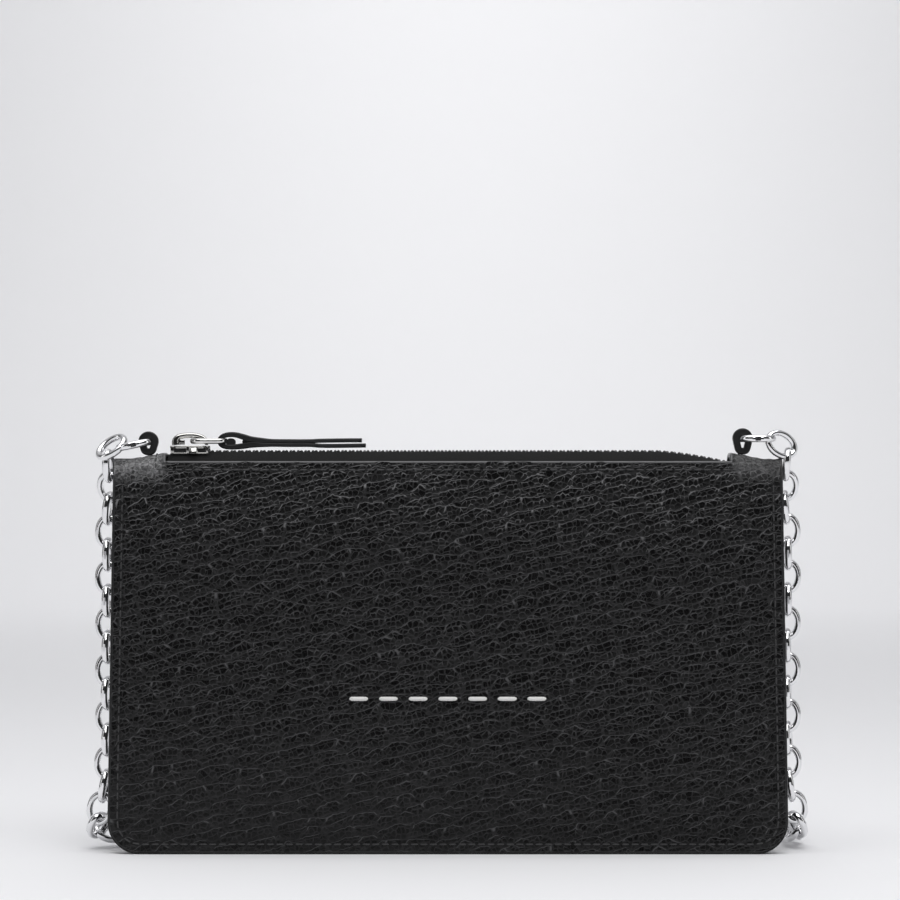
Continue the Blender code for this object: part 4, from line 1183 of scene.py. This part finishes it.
def make_ring():
    """The ring between the bridge and the puller: bent wire, longer than it is wide."""
    half_x = (RING_LENGTH - RING_WIRE) / 2
    half_y = (RING_WIDTH - RING_WIRE) / 2
    corners = round_corners(half_x, half_y, 0.00235, 14)
    path = np.array([(half_x + x, y, 0.0) for x, y in corners]) + np.array(RING_PIVOT)
    sides = np.cross(UP, tangents(path, closed=True))
    wire = sweep(path, sides, UP, round_section(0.00070, 0.00078, 16, 2.4), closed=True)
    make_piece("ring_wire", *wire, RING_METAL, "pull_ring", "polished_metal", ("pull_ring",))


def strap_piece(name, route, thickness_at, half_width_at, closed, body, node, spacing=0.00035):
    """A strap of smooth leather with rounded edges, whose middle follows a curve in XZ."""
    path = curve_through(route, spacing, closed)
    sections = [strap_section(half_width_at(place[0]), thickness_at(place[0]) / 2) for place in path]
    strap = sweep(path, BACK, np.cross(tangents(path, closed), BACK), sections, closed=closed)
    make_piece(name, *strap, SMOOTH, body, "smooth_leather", (node,), sharp=60)


def strap_section(half_side, half_up):
    """A ring of (side, up) pairs on a rectangle with round corners and slightly crowned faces."""
    steps = 5
    ring = round_corners(half_side, half_up, min(0.00042, half_side * 0.6), steps)
    crown = half_up + 0.00004
    return ring[:steps] + [(0.0, crown)] + ring[steps:3 * steps] + [(0.0, -crown)] + ring[3 * steps:]


def puller_half_width(x):
    """Half the puller's width, x behind its pivot: narrow at the loop, wide, and rounded at the tip."""
    widening = smooth_step((x - 0.0030) / 0.0070)
    tip = math.sqrt(max(0.0, 1 - min(1.0, max(0.0, (x - (PULLER_LENGTH - 0.0042)) / 0.0045)) ** 2))
    return float(mix(PULLER_LOOP_HALF_WIDTH, PULLER_HALF_WIDTH, widening) * max(tip, 0.30))


def make_puller():
    """A strap folded in half round the ring's right bar, its two layers glued behind the loop."""
    pivot = RING_PIVOT + Vector((RING_LENGTH - RING_WIRE, 0.0, 0.0))
    # (x, z) from the pivot, along the middle of the leather: from the tip over the bar and back
    upper = [(PULLER_LENGTH - 0.0020, 0.00022), (0.0345, 0.00022), (0.0300, 0.00016),
             (0.0265, 0.00010), (0.0235, -0.00004), (0.0180, -0.00004), (0.0130, 0.00002),
             (0.0098, 0.00026), (0.0070, 0.00056)]
    crown = [(0.0048, 0.00122), (0.0030, 0.00172), (0.0012, 0.00184), (-0.0003, 0.00155),
             (-0.0013, 0.00090), (-0.0016, 0.0)]
    under = [(-0.0013, -0.00090), (-0.0003, -0.00148), (0.0012, -0.00166), (0.0030, -0.00160),
             (0.0048, -0.00140)]
    lower = [(0.0070, -0.00106), (0.0098, -0.00100), (0.0130, -0.00102), (0.0180, -0.00108),
             (0.0235, -0.00108), (0.0265, -0.00130), (0.0300, -0.00134), (0.0345, -0.00130),
             (PULLER_LENGTH - 0.0009, -0.00122)]
    route = [(pivot.x + x, 0.0, pivot.z + z) for x, z in upper + crown + under + lower]
    # (distance from the pivot, thickness): the leather is bunched round the bar
    layers = [(-0.0016, 0.00130), (0.0030, 0.00145), (0.0060, 0.00170), (0.0080, 0.00155),
              (0.0130, PULLER_LAYER)]

    def thickness(x):
        return float(np.interp(x - pivot.x, *zip(*layers)))

    strap_piece("puller_strap", route, thickness, lambda x: puller_half_width(x - pivot.x), False,
                "puller", "leather_puller")
    # Two plugs of leather close the loop on the bar: (x, z, half length, half height)
    parts = Parts()
    for x, z, half_length, half_height in ((0.0015, -0.0004, 0.0013, 0.0012),
                                           (0.0066, -0.0002, 0.0019, 0.0009)):
        path = np.array(pivot) + np.array([(x, y, z) for y in np.linspace(-0.0016, 0.0016, 5)])
        parts.add(*sweep(path, RIGHT, UP, round_section(half_length, half_height, 20, 2.2)))
    make_piece("puller_filler", *parts.joined(), SMOOTH, "puller", "smooth_leather", sharp=60)


def make_loops():
    """The two upright loops that the chain hangs from: a strap bent into an eye, its ends together."""
    radius = LOOP_OUTER_RADIUS - LOOP_STRAP / 2
    for node in ("left_loop", "right_loop"):
        low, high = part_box(node)
        centre_x = (low.x + high.x) / 2
        centre_z = high.z - LOOP_OUTER_RADIUS
        foot = low.z + LOOP_STRAP / 2
        eye = np.radians(np.linspace(-20, 200, 11))
        route = [(centre_x + radius * math.cos(angle), 0.0, centre_z + radius * math.sin(angle))
                 for angle in eye]
        waist = mix(foot, centre_z, 0.42)
        route += [(centre_x - 0.00150, 0.0, waist), (centre_x - 0.00088, 0.0, foot - 0.0004),
                  (centre_x + 0.00088, 0.0, foot - 0.0004), (centre_x + 0.00150, 0.0, waist)]
        strap_piece(node + "_strap", route, lambda x: LOOP_STRAP, lambda x: LOOP_HALF_WIDTH, True,
                    "wallet", node, spacing=0.00025)


# ---------------------------------------------------------------- chain

def link_template(length, width, around=12, steps=28):
    """One link as points, faces and the place of its two flat-cut sides. Its length is along X."""
    angle = 2 * math.pi * np.arange(steps) / steps
    path = np.stack([(length - LINK_BAR) / 2 * np.cos(angle), (width - LINK_BAR) / 2 * np.sin(angle),
                     np.zeros(steps)], axis=-1)
    sides = np.cross(tangents(path, closed=True), UP)
    section = round_section(LINK_BAR / 2, LINK_THICKNESS / 2, around)
    points, faces = sweep(path, sides, UP, section, closed=True)
    cut = width / 2 - 0.00020
    points[:, 1] = np.clip(points[:, 1], -cut, cut)
    return points, np.array(faces), cut


def place_link(template, centre, axis, normal):
    """A link's points and faces with its middle, its long axis and its flat side's normal as given."""
    points, faces, _ = template
    axis = unit(np.asarray(axis))
    normal = unit(normal - axis * np.dot(normal, axis))
    across = np.cross(normal, axis)
    return centre + points[:, :1] * axis + points[:, 1:2] * across + points[:, 2:] * normal, faces


def sharpen_cuts(piece, template):
    """Mark the outline of each link's flat-cut sides as sharp edges."""
    points, faces, cut = template
    on_cut = np.abs(points[:, 1]) > cut - 1e-7
    flat = on_cut[faces].all(axis=1)
    uses = {}
    for face, is_flat in zip(faces, flat):
        for a, b in zip(face, np.roll(face, -1)):
            uses.setdefault((min(a, b), max(a, b)), []).append(is_flat)
    sharp = {pair for pair, kinds in uses.items() if len(set(kinds)) == 2}
    size = len(points)
    keys = np.array(sorted(a * size + b for a, b in sharp))
    ends = np.empty(len(piece.data.edges) * 2, int)
    piece.data.edges.foreach_get("vertices", ends)
    ends = np.sort(ends.reshape(-1, 2) % size, axis=1)
    marks = np.isin(ends[:, 0] * size + ends[:, 1], keys)
    attribute = piece.data.attributes.new("sharp_edge", "BOOLEAN", "EDGE")
    attribute.data.foreach_set("value", marks)


def make_end_links():
    """The link at each end of the chain, which turns in its leather loop."""
    template = link_template(END_LINK_LENGTH, END_LINK_WIDTH, 16, 40)
    reach = (END_LINK_LENGTH - LINK_BAR) / 2
    for node, pivot, side, tilt in (("left_end_link", LEFT_LINK_PIVOT, -1, LEFT_LINK_TILT),
                                    ("right_end_link", RIGHT_LINK_PIVOT, 1, 0.0)):
        axis = np.array((side * math.cos(tilt), 0.0, -math.sin(tilt)))
        points, faces = place_link(template, np.array(pivot) + axis * reach, axis, UP)
        piece = make_piece(node + "_ring", points, faces.tolist(), METAL, node, "polished_metal", (node,))
        sharpen_cuts(piece, template)


def hank_route():
    """The runs and half-round turns of the hank, from the end of one side's route to the other's."""
    start, end = np.array(CHAIN_DOWN_LEFT[-1]), np.array(CHAIN_DOWN_RIGHT[-1])
    gap = (end[1] - start[1]) / (HANK_RUNS - 1)
    points = []
    for run in range(HANK_RUNS):
        y = start[1] + run * gap
        heading = 1 if run % 2 == 0 else -1
        first = start[0] if run == 0 else -heading * HANK_TURN_X
        last = end[0] if run == HANK_RUNS - 1 else heading * HANK_TURN_X
        for x in np.linspace(first, last, 14):
            sway = 0.0005 * math.sin(x / 0.021 + run * 2.0) * (1 - (x / HANK_TURN_X) ** 8)
            points.append((x, y + sway, HANK_LEVEL))
        if run < HANK_RUNS - 1:
            for angle in np.linspace(-math.pi / 2, math.pi / 2, 13)[1:-1]:
                points.append((last + heading * gap / 2 * math.cos(angle),
                               y + gap / 2 + gap / 2 * math.sin(angle), HANK_LEVEL))
    return points


def make_chain():
    """The whole chain strap: down the left side, to and fro in the hank, and up the right side."""
    rng = np.random.default_rng(SEED)
    route = np.array(CHAIN_DOWN_LEFT[:-1] + hank_route() + CHAIN_DOWN_RIGHT[-2::-1])
    # Only what hangs is tucked in: not the links by the loops, and not what lies on the floor
    hanging = smooth_step((0.107 - route[:, 2]) / 0.008) * smooth_step((route[:, 2] - 0.012) / 0.010)
    route[:, 0] -= np.sign(route[:, 0]) * CHAIN_TUCK * hanging
    nodes = curve_through(route, LINK_PITCH)
    centres = (nodes[:-1] + nodes[1:]) / 2
    axes = unit(np.diff(nodes, axis=0))
    template = link_template(LINK_LENGTH, LINK_WIDTH)
    parts = Parts()

    # The link next to each end link leans over on it: (middle, long axis, normal of its flat side)
    leaning = [((-0.0946, -0.0002, 0.1143), (0.80, 0.10, 0.60), (-0.45, -0.62, 0.64)),
               ((0.0938, -0.0002, 0.1150), (0.85, 0.20, -0.48), (0.38, -0.91, 0.16))]
    for centre, axis, normal in leaning:
        parts.add(*place_link(template, np.array(centre), axis, np.array(normal)))

    normal = BACK
    for index, (centre, axis) in enumerate(zip(centres, axes)):
        normal = unit(normal - axis * np.dot(normal, axis))
        lying = 1.0 - smooth_step((centre[2] - 0.006) / 0.008)
        floor_normal = unit(UP - axis * axis[2])
        base = unit(mix(normal, floor_normal, lying))
        side = np.cross(axis, base)
        # Links lie at 45 degrees to the floor, turn about, and hang nearly square to the wallet
        roll = math.radians(mix(12.0, 45.0, lying)) + rng.normal(0.0, 0.10)
        if index % 2 == 0:
            roll += math.pi / 2
        facing = math.cos(roll) * base + math.sin(roll) * side
        parts.add(*place_link(template, centre, axis, facing))
    piece = make_piece("chain_strap", *parts.joined(), METAL, "wallet", "polished_metal",
                       ("chain_left", "chain_right", "chain_hank"))
    sharpen_cuts(piece, template)


# ---------------------------------------------------------------- camera, light and floor

def make_camera():
    """A level camera in front of the wallet, with a long lens."""
    data = bpy.data.cameras.new("camera")
    data.sensor_width = SENSOR_MM
    data.lens = SENSOR_MM * CAMERA_DISTANCE / VIEW_WIDTH
    data.clip_start = 0.01
    camera = bpy.data.objects.new("camera", data)
    camera.location = (CAMERA_X, leather_low.y - CAMERA_DISTANCE, CAMERA_HEIGHT)
    camera.rotation_euler = (math.radians(90), 0.0, 0.0)
    bpy.context.scene.collection.objects.link(camera)
    bpy.context.scene.camera = camera


def make_floor():
    """A pale floor that curves up into a backdrop far behind the wallet."""
    front, start, radius, top, half = -3.0, 1.5, 0.6, 2.6, 3.2
    profile = [(front, 0.0), (start, 0.0)]
    profile += [(start + radius * math.sin(a), radius * (1 - math.cos(a)))
                for a in np.linspace(0.0, math.pi / 2, 14)[1:]]
    profile.append((start + radius, top))
    points = [(x, y, z) for y, z in profile for x in (-half, half)]
    mesh = bpy.data.meshes.new("floor")
    mesh.from_pydata(points, [], grid_faces(len(profile), 2)[:, ::-1].tolist())
    mesh.shade_smooth()
    s = Shader("floor_paper", (0.86, 0.86, 0.875), 0.85)
    paper = s.blend(s.noise(3.0), (0.855, 0.855, 0.87), (0.87, 0.87, 0.885))
    mesh.materials.append(s.finish(Base_Color=paper))
    floor = bpy.data.objects.new("floor", mesh)
    bpy.context.scene.collection.objects.link(floor)


def area_light(name, place, target, size, power):
    """A rectangular light that points at a target."""
    data = bpy.data.lights.new(name, "AREA")
    data.shape = "RECTANGLE"
    data.size, data.size_y = size
    data.energy = power
    light = bpy.data.objects.new(name, data)
    light.location = place
    aim = Vector(target) - Vector(place)
    light.rotation_euler = aim.to_track_quat("-Z", "Y").to_euler()
    bpy.context.scene.collection.objects.link(light)


def make_world():
    """Soft grey surroundings: bright overhead and behind, dark on the camera's side for the metal."""
    world = bpy.data.worlds.new("studio")
    world.use_nodes = True
    nodes = Nodes(world.node_tree)
    _, back, up = nodes.split(nodes.node("ShaderNodeTexCoord").outputs["Generated"])
    overhead = nodes.product(nodes.between(up, 0.45, 0.90), 0.60)
    behind = nodes.product(nodes.between(back, -0.25, 0.45), 0.38)
    strength = nodes.maths("ADD", nodes.maths("MAXIMUM", overhead, behind), 0.03)
    nodes.set(nodes.tree.nodes["Background"], {"Strength": strength, "Color": (0.97, 0.975, 1.0, 1.0)})
    bpy.context.scene.world = world


def make_studio():
    """The camera, the floor, soft light on the wallet, and light on the backdrop with a paler pool."""
    make_camera()
    make_floor()
    make_world()
    area_light("top_light", (0.0, -0.22, 0.95), (0.0, 0.0, 0.05), (1.1, 0.7), 5.5)
    area_light("front_top_light", (0.20, -1.00, 1.10), (0.0, 0.0, 0.06), (1.0, 0.4), 4.6)
    area_light("left_light", (-1.3, -0.5, 0.45), (0.0, 0.0, 0.06), (0.35, 0.9), 1.2)
    area_light("right_light", (1.3, -0.4, 0.45), (0.0, 0.0, 0.06), (0.35, 0.9), 1.2)
    area_light("backdrop_light", (0.0, 0.9, 1.6), (0.0, 2.1, 0.9), (1.4, 0.6), 8.8)
    area_light("backdrop_pool", (0.02, 1.55, 0.85), (0.02, 2.05, 0.30), (0.3, 0.2), 1.8)
    bpy.context.scene.view_settings.view_transform = "Standard"


# ---------------------------------------------------------------- the whole scene

def main():
    """Build everything."""
    make_studio()
    make_chain()
    make_end_links()
    hide = Hide(SEED)
    skin(hide, -1)
    skin(hide, 1)
    make_edge_paint()
    make_slot_edge()
    make_black_stitching()
    make_white_stitching()
    make_inner_cloths()
    make_tapes()
    make_teeth()
    make_stops()
    make_slider()
    make_bridge()
    make_ring()
    make_puller()
    make_loops()


main()
